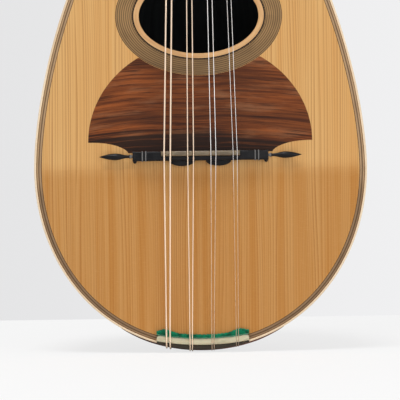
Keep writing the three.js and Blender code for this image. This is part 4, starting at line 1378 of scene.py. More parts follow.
@dataclass(frozen=True)
class Bridge(Placer):
    """The floating ebony bridge with its turned finials, lobes and bone saddle."""

    bar_length: float = 79.2
    bar_width: float = 5.6
    bar_height: float = 6.5
    end_height: float = 4.8
    arch_rise: float = 1.6
    arch_start: float = 20.0
    arch_length: float = 13.0
    bead_places: tuple[float, float] = (31.9, 33.9)
    bead_swell: float = 0.13
    bead_width: float = 0.36
    collar_length: float = 1.5
    lobe_inner: float = 3.2
    lobe_outer: float = 18.0
    lobe_reach: float = 3.1
    lobe_height: float = 2.8
    spur_width: float = 2.4
    spur_reach: float = 1.4
    finial_length: float = 19.7
    finial_radius: float = 1.95
    finial_height: float = 2.9
    finial_overlap: float = 0.4
    finial_shares: Pairs = (
        (0.0, 0.42), (0.05, 0.42), (0.09, 0.62), (0.14, 0.42), (0.24, 0.5), (0.42, 0.9), (0.55, 1.0),
        (0.72, 0.8), (0.9, 0.34), (1.0, 0.0),
    )
    saddle_length: float = 46.0
    saddle_width: float = 2.9
    saddle_seat: float = 4.6
    saddle_bed: float = 0.3
    saddle_crest: float = 9.58
    saddle_rounding: float = 1.2
    notch_width: float = 0.7
    notch_depth: float = 0.45
    saddle_lean: float = 0.17
    lean_start: float = 0.2

    @property
    def low(self) -> float:
        """Height of the bar's tail side."""
        return self.drawing.saddle_height + self.saddle_width / 2 - self.bar_width

    def build(self, string_places: Sequence[float]) -> None:
        """Builds the bridge and its saddle.

        Args:
            string_places: where the strings cross the saddle, across the instrument.
        """
        # Painted highlights: pale rings on the ebony at the two beads and where the bar meets each finial.
        painted_highlight = (*((place, 0.42) for place in self.bead_places), (self.bar_length / 2 + 0.9, 1.1))
        ebony = EbonyFinish(painted_highlight_at=painted_highlight).make("bridge_ebony")
        ends = (form(side) for side in Side for form in (self.lobe, self.spur, self.finial))
        wood = Surface(self.bar(), *ends)
        self.piece(wood, "ebony_bridge", ebony, "ebony", "bridge", body="bridge_body")
        bone, saddle = SADDLE_BONE.make("saddle_bone"), Surface(self.saddle(string_places))
        self.piece(saddle, "bone_bridge_saddle", bone, "bone", "bridge_saddle", body="bridge_body")

    def bar(self) -> Array:
        """The bar: a soft rectangle carried along X.

        It falls evenly from the saddle's ends, swells at two beads as a bell curve, has an arch of a sine's
        root below each side, and is cut back where the saddle sits.

        Returns:
            The closed grid.
        """
        half, gap = self.bar_length / 2, self.drawing.seat_gap
        x = np.linspace(-half, half, 321)[:, None]
        reach = np.abs(x)
        seat_end = self.saddle_length / 2
        fall = np.clip((reach - seat_end - self.saddle_seat) / (half - seat_end - self.saddle_seat), 0, 1)
        height = self.bar_height + (self.end_height - self.bar_height) * fall
        share = np.clip((reach - self.arch_start) / self.arch_length, 0, 1)
        arch = self.arch_rise * np.sin(share * math.pi) ** 0.5
        beads = sum(np.exp(-(((reach - place) / self.bead_width) ** 2)) for place in self.bead_places)
        collar = np.clip((reach - half + self.collar_length) / 0.3, 0, 1) * 0.5
        scale = 1 + self.bead_swell * (beads + collar)
        section = evenly(ring(rounded(1, 1, 7.0, 120)[None])[0], 64)[:-1]
        z = self.low + self.bar_width / 2 * (1 + section[:, 0] * scale)
        y = ((height - arch - gap) * section[:, 1] * scale - height - arch - gap) / 2
        seat = (reach < seat_end + 0.2) & (z > self.low + self.bar_width - self.saddle_width - 0.2)
        y = np.where(seat, np.maximum(y, -self.saddle_seat), y)
        return closed(x, np.minimum(y, -gap), z)

    def low_plate(self, outline: Array, bevel: float, x: float) -> Array:
        """A plate of this outline whose upper half lies inside the bar's tail side."""
        plate = prism(outline, -self.lobe_height, -self.drawing.seat_gap, bevel)
        return facing(plate) + [x, 0, self.low]

    def lobe(self, side: Side) -> Array:
        """One scalloped lobe on the tail side: an ellipse."""
        outline = rounded((self.lobe_outer - self.lobe_inner) / 2, self.lobe_reach, 2.0, 48)
        return self.low_plate(outline, 0.5, side * (self.lobe_inner + self.lobe_outer) / 2)

    def spur(self, side: Side) -> Array:
        """The small point under each end of the bar: a rounded diamond."""
        outline = rounded(self.spur_width / 2, self.spur_reach, 2 / 1.3, 32)
        return self.low_plate(outline, 0.15, side * (self.bar_length - self.spur_width) / 2)

    def finial(self, side: Side) -> Array:
        """A turned finial about X, from its shares of length and radius as a smooth line.

        Args:
            side: which side it is on.

        Returns:
            Its points.
        """
        share, radius = smooth_line(np.array(self.finial_shares), 60).T
        radius = np.maximum(radius, 0) * self.finial_radius
        place = self.bar_length / 2 - self.finial_overlap + (self.finial_length + self.finial_overlap) * share
        form = about_x(turned([(0.0, place[0]), *zip(radius, place)], 28))
        return form * [side, 1, 1] + [0, -self.finial_height, self.low + self.bar_width / 2]

    def saddle(self, string_places: Sequence[float]) -> Array:
        """The bone saddle: a soft rectangle carried along X, notched by a narrow bell curve at each string.

        Its crest falls by the lean towards the tail, as the strings do, so that they clear it when it shifts.

        Args:
            string_places: where the strings cross it.

        Returns:
            The closed grid.
        """
        half = self.saddle_length / 2
        x = np.linspace(-half, half, 460)[:, None]
        bells = np.exp(-(((x - np.array(string_places)) / self.notch_width) ** 4))
        notches = bells.sum(1, keepdims=True) * self.notch_depth
        end = np.clip((half - np.abs(x)) / self.saddle_rounding, 0, 1) ** 0.5
        crest = self.saddle_crest - notches - (1 - end) * self.saddle_rounding
        root = self.saddle_seat - self.saddle_bed
        section = rounded(1, 1, 5.0)
        z = self.saddle_width / 2 * section[:, 0]
        lean = self.saddle_lean * np.maximum(self.lean_start - z, 0) * np.clip(-section[:, 1], 0, 1)
        y = ((crest - root) * section[:, 1] - crest - root) / 2 + lean
        return closed(x, y, self.drawing.saddle_height + z)


@dataclass(frozen=True)
class TailEnd(Placer):
    """What guides and holds the strings at the tail: bone, felt, strip, cap, tailpiece and screws."""

    saddle_length: float = 54.5
    saddle_start: float = 2.45
    strip_taper: float = 1.3
    saddle_width: float = 4.1
    saddle_height: float = 3.0
    end_rounding: float = 2.6
    felt_width: float = 2.2
    felt_swell: float = 1.8
    felt_lean: float = 3.1
    felt_height: float = 1.6
    felt_lap: float = 0.5
    felt_back: float = 0.25
    strip_height: float = 1.1
    strip_edge: float = -0.3
    strip_back: float = 0.05
    cap_length: float = 96.0
    cap_depth: float = 12.0
    cap_thickness: float = 0.9
    cap_feather: float = 16.0
    plate_length: float = 56.0
    plate_depth: float = 26.0
    plate_thickness: float = 1.2
    plate_corner: float = 3.5
    hook_setback: float = 18.0
    hook_radius: float = 0.75
    hook_stem: float = 2.3
    hook_lip: float = 1.7
    hook_bend: float = 0.7
    screw_setback: float = 9.0
    screw_spread: float = 26.0
    screw_radius: float = 3.0
    screw_height: float = 1.3
    screw_shank: tuple[float, float] = (1.5, 13.0)

    @property
    def plate_start(self) -> float:
        """Depth at which the tailpiece starts, behind the cap."""
        return float(self.drawing.tail_rim(0.0)) + self.cap_depth + 2 * self.drawing.seat_gap

    @property
    def hook_place(self) -> float:
        """Depth of the row of hooks."""
        return self.plate_start + self.hook_setback

    def curve(self, x: Array | float) -> Array | float:
        """Height of the bone's lower edge: the outline plus a strip that narrows with the square of X."""
        share = np.abs(x) / (self.saddle_length / 2)
        return self.drawing.rim_height(x) + self.saddle_start - self.strip_taper * share**2

    def build(self, hooks: Sequence[float]) -> None:
        """Builds every piece at the tail.

        Args:
            hooks: where the hooks stand, across the instrument.
        """
        drawing, half, width = self.drawing, self.saddle_length / 2, self.saddle_width
        x = np.linspace(-half, half, 110)[:, None]
        low = self.curve(x)
        near = np.clip((np.abs(x) - half + self.end_rounding) / self.end_rounding, 0, 1)
        top = low + width - 0.55 * width * (1 - np.sqrt(1 - near**2))
        saddle = self.strip(x, low, top, drawing.seat_gap, self.saddle_height, 3.2)
        self.piece(saddle, "tail_saddle_bone", TAIL_BONE.make("tail_bone"), "bone", "tail_saddle")
        ebony = EbonyFinish(srgb(60, 54, 45), srgb(92, 84, 72)).make("tail_ebony")
        rim, high = drawing.rim_height(x) + self.strip_edge, low - drawing.seat_gap
        strip = self.strip(x, rim, high, self.strip_back, self.strip_height, 9.0)
        self.piece(strip, "tail_ebony_strip", ebony, "ebony", "tail_strip")
        green = FeltFinish().make("green_felt")
        felt = self.piece(self.felt(x, low), "green_felt_strip", green, "felt", "tail_felt", crease=60.0)
        wood = RIB_ROSEWOOD.make("cap_rosewood", Grain.ALONG_PIECE)
        size = (self.cap_depth, self.cap_thickness, 0.0, self.cap_feather)
        cap = self.sheet(self.cap_length, drawing.tail_rim, *size)
        self.piece(cap, "rosewood_tail_cap", wood, "bowl_wood", "tail_cap")
        size = (self.plate_depth, self.plate_thickness, self.plate_corner)
        plate = self.sheet(self.plate_length, lambda across: np.full_like(across, self.plate_start), *size)
        for place in hooks:
            plate.grid(self.hook(place))
        self.piece(plate, "nickel_tailpiece", NICKEL.make("nickel_plate"), "nickel", "tailpiece")
        steel = STEEL.make("screw_steel")
        for side, name in ((Side.BASS, "left"), (Side.TREBLE, "right")):
            screw = self.screw(side)
            self.piece(screw, f"tailpiece_slotted_screw_{name}", steel, "steel", f"tailpiece_screw_{name}")

    def strip(self, x: Array, low: Array, high: Array, back: float, height: float, power: float) -> Surface:
        """A strip on the soundboard: a soft rectangle between two heights, carried along X.

        Args:
            x: the places across.
            low, high: its edges at each place.
            back, height: its distances in front of the soundboard.
            power: how square the rectangle is.

        Returns:
            The surface.
        """
        section = rounded(1, 1, power, 32)
        z = (low + high + (high - low) * section[:, 0]) / 2
        depth = ((height - back) * section[:, 1] - height - back) / 2
        return Surface(capped(ring(self.drawing.on_board(x, depth, z))))

    def felt(self, x: Array, low: Array) -> Surface:
        """The strip of felt above the bone: two soft humps, with a ruffled outline of summed sine waves.

        Args:
            x: places along it.
            low: height of its lower edge there.

        Returns:
            The surface.
        """
        share = np.minimum(np.abs(x) / (self.saddle_length / 2), 1)
        waves = ((0.14, 2.9, 0), (0.1, 5.3, 1), (0.07, 11.7, 2))
        ruffle = sum(size * np.sin(x * rate + shift) for size, rate, shift in waves)
        hump = np.sin(math.pi * share**self.felt_lean) ** 2
        top = low + self.saddle_width
        start = top - 0.35
        stop = top - 0.2 + self.felt_width + self.felt_swell * hump + ruffle
        section = rounded(1, 1, 2.6, 36)
        height = self.felt_height * (0.93 + ruffle * 0.35)
        z = (start + stop + (stop - start) * section[:, 0]) / 2
        over = np.clip((top + 0.15 - z) / 0.45, 0, 1)
        front = height + (self.saddle_height + self.felt_lap - height) * over**0.7
        back = self.felt_back + (self.saddle_height - self.felt_back) * np.clip(over * 1.4, 0, 1)
        depth = ((front - back) * section[:, 1] - front - back) / 2
        return Surface(capped(ring(self.drawing.on_board(x, depth, z))))

    def sheet(
        self,
        length: float,
        start: Callable[[Array], Array],
        depth: float,
        thickness: float,
        corner: float,
        feather: float = 0.0,
    ) -> Surface:
        """A sheet that follows the bowl's tail, standing off by the seat's gap.

        Args:
            length: its size across.
            start: the depth of its front edge at each place.
            depth: how far back it reaches.
            thickness: its thickness.
            corner: the radius of its corners.
            feather: how far from its ends it gets thinner.

        Returns:
            The surface, whose pattern is in millimetres.
        """
        x = np.linspace(-length / 2, length / 2, 97)[:, None]
        from_end = length / 2 - np.abs(x)
        near = np.clip(corner - from_end, 0, corner)
        trim = corner - np.sqrt(np.maximum(corner**2 - near**2, 0))
        share = np.linspace(0, 1, 20)
        y = start(x) + trim + (depth - 2 * trim) * share
        inner = self.drawing.tail_surface(x, y) - self.drawing.seat_gap
        edge = np.minimum(share, 1 - share) * depth
        thin = np.clip(from_end / feather, 0.04, 1) ** 0.5 if feather else 1.0
        outer = inner - (thickness - 0.25 * np.clip(1 - edge / 0.4, 0, 1) ** 2) * thin
        loop_y = np.concatenate([y, y[:, ::-1]], 1)
        loop_z = np.concatenate([outer, inner[:, ::-1]], 1)
        return Surface().grid(closed(x, loop_y, loop_z), closed(x, loop_y))

    def hook(self, place: float) -> Array:
        """One hook: a round wire out of the plate, bent back over a quarter turn.

        Args:
            place: its place across.

        Returns:
            Its points.
        """
        angle = np.linspace(0, math.pi / 2, 10)
        shoulder = self.hook_stem - 0.2
        stem = [(0.0, self.hook_stem * share) for share in (-0.5, 0.3, 0.7)]
        turn = placed(self.hook_bend * (1 - np.cos(angle)), shoulder + self.hook_bend * np.sin(angle))
        back, out = np.concatenate([stem, turn, [(self.hook_lip, shoulder + self.hook_bend)]]).T
        root = self.drawing.tail_surface(place, self.hook_place) - self.drawing.seat_gap
        path = placed(place, self.hook_place + back, root - self.plate_thickness - out)
        radius = np.append(np.full(len(path) - 1, self.hook_radius), 0.7 * self.hook_radius)
        return tube(path, radius, (1, 0, 0), 14)

    def screw(self, side: Side) -> Surface:
        """A slotted round-head screw that faces down, with its shank up into the block.

        Args:
            side: which side it is on.

        Returns:
            The surface.
        """
        x, y = side * self.screw_spread / 2, self.plate_start + self.screw_setback
        seat = self.drawing.tail_surface(x, y - self.screw_radius)
        place = [x, y, seat - self.plate_thickness - 1.2 * self.drawing.seat_gap]
        forms = slotted_screw(self.screw_radius, self.screw_height, *self.screw_shank)
        return Surface(*(facing(form) + place for form in forms))


@dataclass(frozen=True)
class StringPlace:
    """One string: its diameter, its tuner and its places as shares of half the spread at each support."""

    name: str
    diameter: float
    side: Side
    tuner: int
    nut: float
    saddle: float
    tail: float
    hook: float

    def across(self, share: float, spread: float) -> float:
        """Where the string lies across the instrument, for its share of half a spread."""
        return self.side * share * spread / 2


@dataclass(frozen=True)
class Strings(Placer):
    """The four pairs of strings: wound bronze on the bass side and plain steel on the treble side."""

    gap: float = 0.06
    nut_spread: float = 25.0
    saddle_spread: float = 42.8
    tail_spread: float = 42.8
    hook_spread: float = 46.0
    nut_action: float = 6.6
    saddle_action: float = 9.38
    waist_middle: float = -8.1
    loop_tail: float = 7.0
    bend: float = 0.7
    turns: float = 3.2
    steps: int = 620
    table: tuple[StringPlace, ...] = (
        StringPlace("g_1", 0.97, Side.BASS, 0, 1.0, 0.986, 1.0, 1.0),
        StringPlace("g_2", 0.97, Side.BASS, 1, 0.824, 0.818, 0.902, 0.774),
        StringPlace("d_1", 0.66, Side.BASS, 2, 0.416, 0.346, 0.355, 0.413),
        StringPlace("d_2", 0.66, Side.BASS, 3, 0.24, 0.187, 0.29, 0.187),
        StringPlace("a_1", 0.4, Side.TREBLE, 3, 0.24, 0.285, 0.248, 0.148),
        StringPlace("a_2", 0.4, Side.TREBLE, 2, 0.416, 0.421, 0.308, 0.374),
        StringPlace("e_1", 0.29, Side.TREBLE, 1, 0.824, 0.888, 0.921, 0.774),
        StringPlace("e_2", 0.29, Side.TREBLE, 0, 1.0, 1.0, 0.981, 1.0),
    )

    def saddle_places(self) -> list[float]:
        """Where the strings cross the saddle."""
        return [entry.across(entry.saddle, self.saddle_spread) for entry in self.table]

    def hook_places(self) -> list[float]:
        """Where the hooks stand."""
        return [entry.across(entry.hook, self.hook_spread) for entry in self.table]

    def build(self, tail: TailEnd) -> None:
        """Builds the eight strings.

        Args:
            tail: the pieces that they run over.
        """
        bronze, steel = BRONZE_STRING.make("wound_bronze"), STEEL_STRING.make("plain_steel")
        for entry in self.table:
            places, sides = np.split(self.route(entry, tail), 2, axis=1)
            length = np.pad(running_length(places), 1, "edge")[:, None]
            form = tube(places, entry.diameter / 2, sides, 10)
            wire = Surface().grid(form, placed(length, np.linspace(0, 1, 11)))
            metal, slot = (bronze, "string_bronze") if entry.side is Side.BASS else (steel, "string_steel")
            self.piece(wire, f"string_wire_{entry.name}", metal, slot, f"string_{entry.name}", crease=60.0)

    def route(self, entry: StringPlace, tail: TailEnd) -> Array:
        """The path of a string with a direction square to it at each point.

        It is a half circle round the hook, the run over tailpiece, cap, bone, saddle and nut with its corners
        softened, and a helix on the post.

        Args:
            entry: the string.
            tail: the pieces that it runs over.

        Returns:
            The points (n, 6): the place and the direction.
        """
        drawing, radius = self.drawing, entry.diameter / 2
        lift = self.gap + radius
        hook = entry.across(entry.hook, self.hook_spread)
        crossing = entry.across(entry.tail, self.tail_spread)
        saddle = entry.across(entry.saddle, self.saddle_spread)
        nut = entry.across(entry.nut, self.nut_spread)
        rim, low = drawing.tail_rim(crossing), drawing.rim_height(crossing)

        def over(x: Array, y: Array, layer: Array | float) -> Array:
            """Places that lie on a layer over the bowl's tail."""
            return placed(x, y, drawing.tail_surface(x, y) - drawing.seat_gap - layer - lift)

        around = tail.hook_radius + lift
        angle = np.linspace(0, math.pi, 13)
        loop_x = np.concatenate([[hook + 0.5 * around], hook + around * np.cos(angle)])
        start = tail.hook_place - self.loop_tail
        loop_y = np.concatenate([[start], tail.hook_place + around * np.sin(angle)])
        loop = over(loop_x, loop_y, tail.plate_thickness)
        run_y = np.array([tail.plate_start + 6, tail.plate_start, rim + tail.cap_depth, rim + 0.5])
        run_x = crossing + (hook - crossing) * (run_y - rim) / (tail.hook_place - rim)
        run = over(run_x, run_y, np.repeat([tail.plate_thickness, tail.cap_thickness], 2))
        curve, edge = tail.curve(crossing), drawing.drop(low) - tail.strip_height
        bone = np.array([curve + 0.4, curve + tail.saddle_width - 0.4])
        corners = [
            [crossing, edge + 0.4, low - lift - tail.cap_thickness / 2],
            [crossing, edge - lift, low - lift / 2],
            *drawing.on_board(crossing, -tail.saddle_height - lift, bone),
            [saddle, -self.saddle_action - radius, drawing.saddle_height],
            [nut, -self.nut_action - radius, drawing.nut_height - 3],
            [nut, -self.nut_action - radius, drawing.nut_height + 1.6],
        ]
        winding = self.winding(entry, nut)
        lower = softened(np.concatenate([run, corners, winding[:1]]), self.bend)
        normal = drawing.tilted(np.array([0, 1, 0])) - drawing.tilted(np.zeros(3))
        parts = ((loop, [0, 0, 1]), (lower[:-1], [1, 0, 0]), (winding, normal))
        columns = [np.concatenate([part, np.broadcast_to(side, part.shape)], 1) for part, side in parts]
        return evenly(np.concatenate(columns), self.steps)

    def winding(self, entry: StringPlace, nut: float) -> Array:
        """The turns on the post: a helix that starts where the string from the nut touches the post.

        Args:
            entry: the string.
            nut: its place at the nut.

        Returns:
            The points (n, 3).
        """
        drawing = self.drawing
        rise, half = drawing.post_height(entry.tuner), drawing.post_spread / 2
        around = drawing.post_waist + self.gap + entry.diameter / 2
        inward = half - abs(nut)
        start = math.atan2(-rise, inward) + math.acos(around / math.hypot(inward, rise))
        turn = np.linspace(0, self.turns, int(self.turns * 24))
        angle = start + TURN * turn
        x = entry.side * (half - around * np.cos(angle))
        y = self.waist_middle + (turn - self.turns / 2) * (entry.diameter + self.gap)
        return drawing.tilted(placed(x, y, rise + around * np.sin(angle)))


@dataclass(frozen=True)
class Bowl(Placer):
    """The bowl of rosewood ribs with pale lines between them, its dark lining of painted shade and the blocks
    inside.
    """

    wall: float = 2.0
    narrow_ribs: int = 19
    side_rib_angle: float = math.radians(21)
    stations: int = 90
    sunk: float = 0.12
    line_width: float = 0.75
    line_rise: float = 0.03
    line_root: float = 0.5
    lining_gap: float = 0.05
    lining_depth: float = 0.35
    edge_half: tuple[float, float] = (1.6, 3.0)
    edge_gap: tuple[float, float] = (0.6, 0.3)
    core_height: float = 120.0
    slope_step: float = 0.004
    line_angle: float = 0.015

    def build(self, nodes: dict[str, bpy.types.Object]) -> None:
        """Builds the ribs, lines and lining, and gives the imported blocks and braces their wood.

        Args:
            nodes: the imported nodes' objects by name.
        """
        rosewood = RIB_ROSEWOOD.make("rib_rosewood", Grain.ALONG_PIECE)
        edges = self.rib_edges()
        for number in range(1, len(edges)):
            rib = self.shell(edges[number - 1 : number + 1], self.sunk, self.wall)
            self.piece(rib, f"rib_{number:02d}", rosewood, "bowl_wood", "bowl_ribs")
        lines = Surface()
        for edge in edges[1:-1]:
            lines.grid(*self.line(edge))
        self.piece(lines, "rib_spacer_lines", PALE_WOOD.make("spacer_wood", Grain.ALONG_PIECE), "light_wood")
        # The dark lining is a sheet of painted shade that keeps the inside of the bowl dark through the
        # soundhole.
        start = self.wall + self.lining_gap
        lining = self.shell(edges, start, start + self.lining_depth)
        shade_sheet = DARK_SHADE_LINING.make("painted_shade_lining", Grain.ALONG_PIECE)
        self.piece(lining, "bowl_shade_lining", shade_sheet, "bowl_wood", crease=60.0)
        kerfed = PALE_WOOD.make("lining_wood", Grain.UPWARD)
        for side, name in ((Side.TREBLE, "treble"), (Side.BASS, "bass")):
            self.piece(self.edge_lining(side), f"edge_lining_{name}", kerfed, "light_wood")
        mahogany = MAHOGANY.make("block_mahogany", Grain.UPWARD)
        spruce = SpruceFinish(varnish=0.0).make("brace_spruce")
        for name in ("neck_block", "tail_block"):
            nodes[name].material_slots[0].material = mahogany
        for name in ("brace_upper", "brace_lower", "brace_bridge"):
            nodes[name].material_slots[0].material = spruce

    def rib_edges(self) -> Array:
        """Angles round the bowl at which one rib meets the next."""
        inner = np.linspace(self.side_rib_angle, math.pi - self.side_rib_angle, self.narrow_ribs + 1)
        return np.concatenate([[0], inner, [math.pi]])

    def heights(self) -> Array:
        """Heights of the bowl's stations: close together at the tail, as 1 - cos, then even.

        Returns:
            The heights, upwards.
        """
        drawing, count = self.drawing, self.stations // 2 + 1
        tail = drawing.deepest_height * (1 - np.cos(np.linspace(0, math.pi / 2, count)))
        return np.concatenate([tail, np.linspace(drawing.deepest_height, drawing.body_length, count)[1:]])

    def outside(self, angles: Array) -> tuple[Array, Array]:
        """The bowl's outside at given angles, and its outward normals.

        A point is half width times the cosine across and depth times the sine back from the rim, both raised
        to the section's power with their signs. The normal is the cross product of the two slopes, turned
        away from the bowl's core.

        Args:
            angles: the angles (n,) from the treble rim.

        Returns:
            Points and normals (stations, n, 3).
        """
        drawing, step = self.drawing, self.slope_step
        z = self.heights()[:, None]

        def place(angle: Array) -> Array:
            """Points at all stations for one angle each.

            Args:
                angle: the angle round each station.

            Returns:
                The points.
            """
            power, angle = drawing.section_power, np.clip(angle, 0, math.pi)
            deep = drawing.depth(z) * np.maximum(np.sin(angle), 0) ** power
            x = drawing.half_width(z) * soft_power(np.cos(angle), power)
            return placed(x, drawing.rim_depth + drawing.drop(z) + deep, z)

        points = place(angles)
        normals = unit(np.cross(np.gradient(points, axis=0), place(angles + step) - place(angles - step)))
        normals[0] = [0, 0, -1]
        from_core = points - [0, drawing.rim_depth, self.core_height]
        return points, normals * np.where((normals * from_core).sum(-1, keepdims=True) < 0, -1, 1)

    def shell(self, angles: Array, outer: float, inner: float) -> Surface:
        """A stretch of the bowl's wall between two depths, flat from one angle to the next.

        Args:
            angles: its angles (n,), of which a rib has two.
            outer, inner: depths under the outside, along the normal.

        Returns:
            The closed surface, patterned in millimetres along and across.
        """
        points, normals = self.outside(angles)
        loop = np.concatenate([points - normals * outer, (points - normals * inner)[:, ::-1]], axis=1)
        seam = (loop + loop[:, ::-1]) / 2
        grid = ring(np.concatenate([seam[:1], loop, seam[-1:]]))
        length = np.pad(running_length(points.mean(axis=1)), 1, "edge")[:, None] + angles[0] * 900
        across = np.concatenate([angles, angles[::-1]]) * self.drawing.body_width / 2
        return Surface().grid(grid, ring(placed(length, across)))

    def line(self, edge: float) -> tuple[Array, Array]:
        """One pale line between two ribs: a small section carried along their joint.

        Its half width is its own, or the arc of a small angle where that is less.

        Args:
            edge: the joint's angle.

        Returns:
            The closed grid and its pattern in millimetres.
        """
        step = 0.01
        points, normals = self.outside(edge + np.array([-step, 0, step]))
        middle, span = points[:, 1], points[:, 2] - points[:, 0]
        size = np.linalg.norm(span, axis=1, keepdims=True)
        width = np.minimum(self.line_width / 2, size / (2 * step) * self.line_angle)
        section = np.array([[-1, -0.6], [-1, 0.4], [-0.6, 1], [0.6, 1], [1, 0.4], [1, -0.6]])
        lift = section[:, 1:] * np.where(section[:, 1:] > 0, self.line_rise, self.line_root) - self.sunk
        grid = middle[:, None] + (unit(span) * width)[:, None] * section[:, :1] + normals[:, 1:2] * lift
        length = running_length(middle)[:, None] + edge * 50
        return capped(ring(grid)), closed(length, section[:, 0] * 0.4)

    def edge_lining(self, side: Side) -> Surface:
        """The lining that holds the soundboard to the ribs: a soft square carried inside the rim.

        Args:
            side: which side it is on.

        Returns:
            The surface.
        """
        drawing, (half_x, half_y), (gap_x, gap_y) = self.drawing, self.edge_half, self.edge_gap
        z = self.heights()[8:-2, None]
        section = rounded(half_x, half_y, 6.0, 16)
        x = side * (drawing.half_width(z) - self.wall - gap_x - half_x + section[:, 0])
        y = drawing.rim_depth + half_y + gap_y + drawing.drop(z) + section[:, 1]
        return Surface(closed(x, y, z))


@dataclass(frozen=True)
class Neck(Placer):
    """The mahogany neck with its heel, the ebony fingerboard with frets and dots, and the nut."""

    depth_at_nut: float = 15.0
    depth_at_heel: float = 18.0
    heel_sweep: float = 32.0
    roundness: float = 0.92
    fret_count: int = 20
    fret_height: float = 1.0
    fret_width: float = 1.6
    fret_inset: float = 0.4
    board_rounding: float = 0.5
    dot_radius: float = 2.6
    dot_depth: float = 0.8
    side_dot: tuple[float, float] = (0.8, 0.6)
    nut_rise: float = 1.9
    dots: tuple[tuple[int, float], ...] = ((5, 0.0), (7, 0.0), (10, 0.0), (12, -6.0), (12, 6.0), (15, 0.0))

    @property
    def board_end(self) -> float:
        """Height of the fingerboard's lower end, just over the soundhole."""
        drawing = self.drawing
        return drawing.soundhole_centre + drawing.soundhole_height / 2 - drawing.seat_gap

    def build(self, strings: Strings) -> None:
        """Builds the neck's pieces.

        Args:
            strings: what lies in the nut's slots.
        """
        mahogany = MAHOGANY.make("neck_mahogany", Grain.UPWARD)
        self.piece(self.shaft(), "mahogany_neck", mahogany, "neck_wood", "neck")
        ebony = EbonyFinish().make("fingerboard_ebony")
        self.piece(self.fingerboard(), "ebony_fingerboard", ebony, "ebony", "fingerboard")
        nickel = NICKEL.make("fret_nickel")
        for number in range(1, self.fret_count + 1):
            z = self.fret_place(number)
            if z - self.fret_width > self.board_end:
                self.piece(self.fret(z), f"fret_{number:02d}", nickel, "nickel", "fingerboard")
        pearl = DOT_PEARL.make("dot_bone")
        dots, side_dots = Surface(), Surface()
        for number, x in self.dots:
            z = (self.fret_place(number) + self.fret_place(number - 1)) / 2
            dots.grid(self.dot(x, z))
            side_dots.grid(self.edge_dot(z + x / 3))
        self.piece(dots, "fingerboard_dots", pearl, "bone")
        self.piece(side_dots, "fingerboard_side_dots", pearl, "bone")
        self.piece(self.nut(strings), "bone_nut", BoneFinish().make("nut_bone"), "bone", "nut")

    def fret_place(self, number: int) -> float:
        """Height of a fret above the tail: the string's length halves with every twelve frets."""
        return self.drawing.saddle_height + self.drawing.scale_length * 2 ** (-number / 12)

    def shaft(self) -> Surface:
        """The neck and heel.

        A section is the half width times the cosine and the depth times the sine, both raised to the
        roundness. Both sizes grow with the squared share of the way down the heel. The top is cut square.

        Returns:
            The surface.
        """
        drawing = self.drawing
        start = drawing.body_length + drawing.seat_gap
        end = drawing.head_height - drawing.seat_gap / math.cos(drawing.head_tilt)
        heel_top, top = start + self.heel_sweep, drawing.nut_height - drawing.head_thickness / 2
        stations = (np.linspace(start, heel_top, 34)[:-1], np.linspace(heel_top, top, 40), [end])
        z = np.concatenate(stations)[:, None]
        run = np.maximum((drawing.nut_height - z) / (drawing.nut_height - drawing.body_length), 0)
        heel = np.maximum(1 - (z - drawing.body_length) / self.heel_sweep, 0) ** 2
        plain = self.depth_at_nut + (self.depth_at_heel - self.depth_at_nut) * run
        depth = plain + (drawing.rim_depth + drawing.heel_depth - plain) * heel
        spread = (drawing.neck_joint_width - drawing.joint_fingerboard_width) / 2 * heel
        angle = np.linspace(0, math.pi, 61)
        x = (drawing.fingerboard_half(z) + spread) * soft_power(np.cos(angle), self.roundness)
        y = depth * np.maximum(np.sin(angle), 0) ** self.roundness
        return Surface(closed(x, y, z - y * np.where(z == end, math.tan(drawing.head_tilt), 0)))

    def fingerboard(self) -> Surface:
        """The board: a rectangle with rounded front edges, tapered up to the nut.

        Returns:
            The surface.
        """
        drawing = self.drawing
        z = np.linspace(self.board_end, drawing.nut_height - drawing.seat_gap, 60)[:, None]
        half = drawing.fingerboard_half(z)
        turn = np.linspace(0, math.pi / 2, 5)
        inward = self.board_rounding * (1 - np.cos(turn))
        front = -drawing.fingerboard_thickness + self.board_rounding * (1 - np.sin(turn))
        x = np.concatenate([half - inward, (inward - half)[:, ::-1], -half, half], 1)
        return Surface(closed(x, np.concatenate([front, front[::-1], [-0.02, -0.02]]), z))

    def fret(self, z: float) -> Surface:
        """One fret: a half round crown across the board, with its ends rounded off and a tang below.

        Args:
            z: its height.

        Returns:
            The surface.
        """
        half = self.drawing.fingerboard_half(z) - self.fret_inset
        x = np.linspace(-half, half, 41)[:, None]
        end = np.sqrt(np.clip((half - np.abs(x)) / 0.8, 0.02, 1))
        angle = np.linspace(0, math.pi, 13)
        across = self.fret_width / 2 * np.concatenate([np.cos(angle), [-0.6, -0.25, -0.25, 0.25, 0.25, 0.6]])
        rise = np.concatenate([self.fret_height * np.sin(angle), [0, 0, -1.5, -1.5, 0, 0]])
        y = -self.drawing.fingerboard_thickness - rise * np.where(rise > 0, end, 1)
        return Surface(closed(x, y, z + across))

    def dot(self, x: float, z: float) -> Array:
        """A round position dot set flush in the board's face.

        Args:
            x, z: its middle.

        Returns:
            Its points.
        """
        radius, depth = self.dot_radius, self.dot_depth
        form = turned([(0, -0.05), (radius - 0.1, -0.05), (radius, -0.01), (radius, depth), (0, depth)], 40)
        return form + [x, -self.drawing.fingerboard_thickness, z]

    def edge_dot(self, z: float) -> Array:
        """A small dot in the board's bass edge.

        Args:
            z: its height.

        Returns:
            Its points.
        """
        radius, depth = self.side_dot
        form = about_x(turned([(0, -0.04), (radius, -0.04), (radius, depth), (0, depth)], 24))
        return form + [-self.drawing.fingerboard_half(z), -self.drawing.fingerboard_thickness / 2, z]

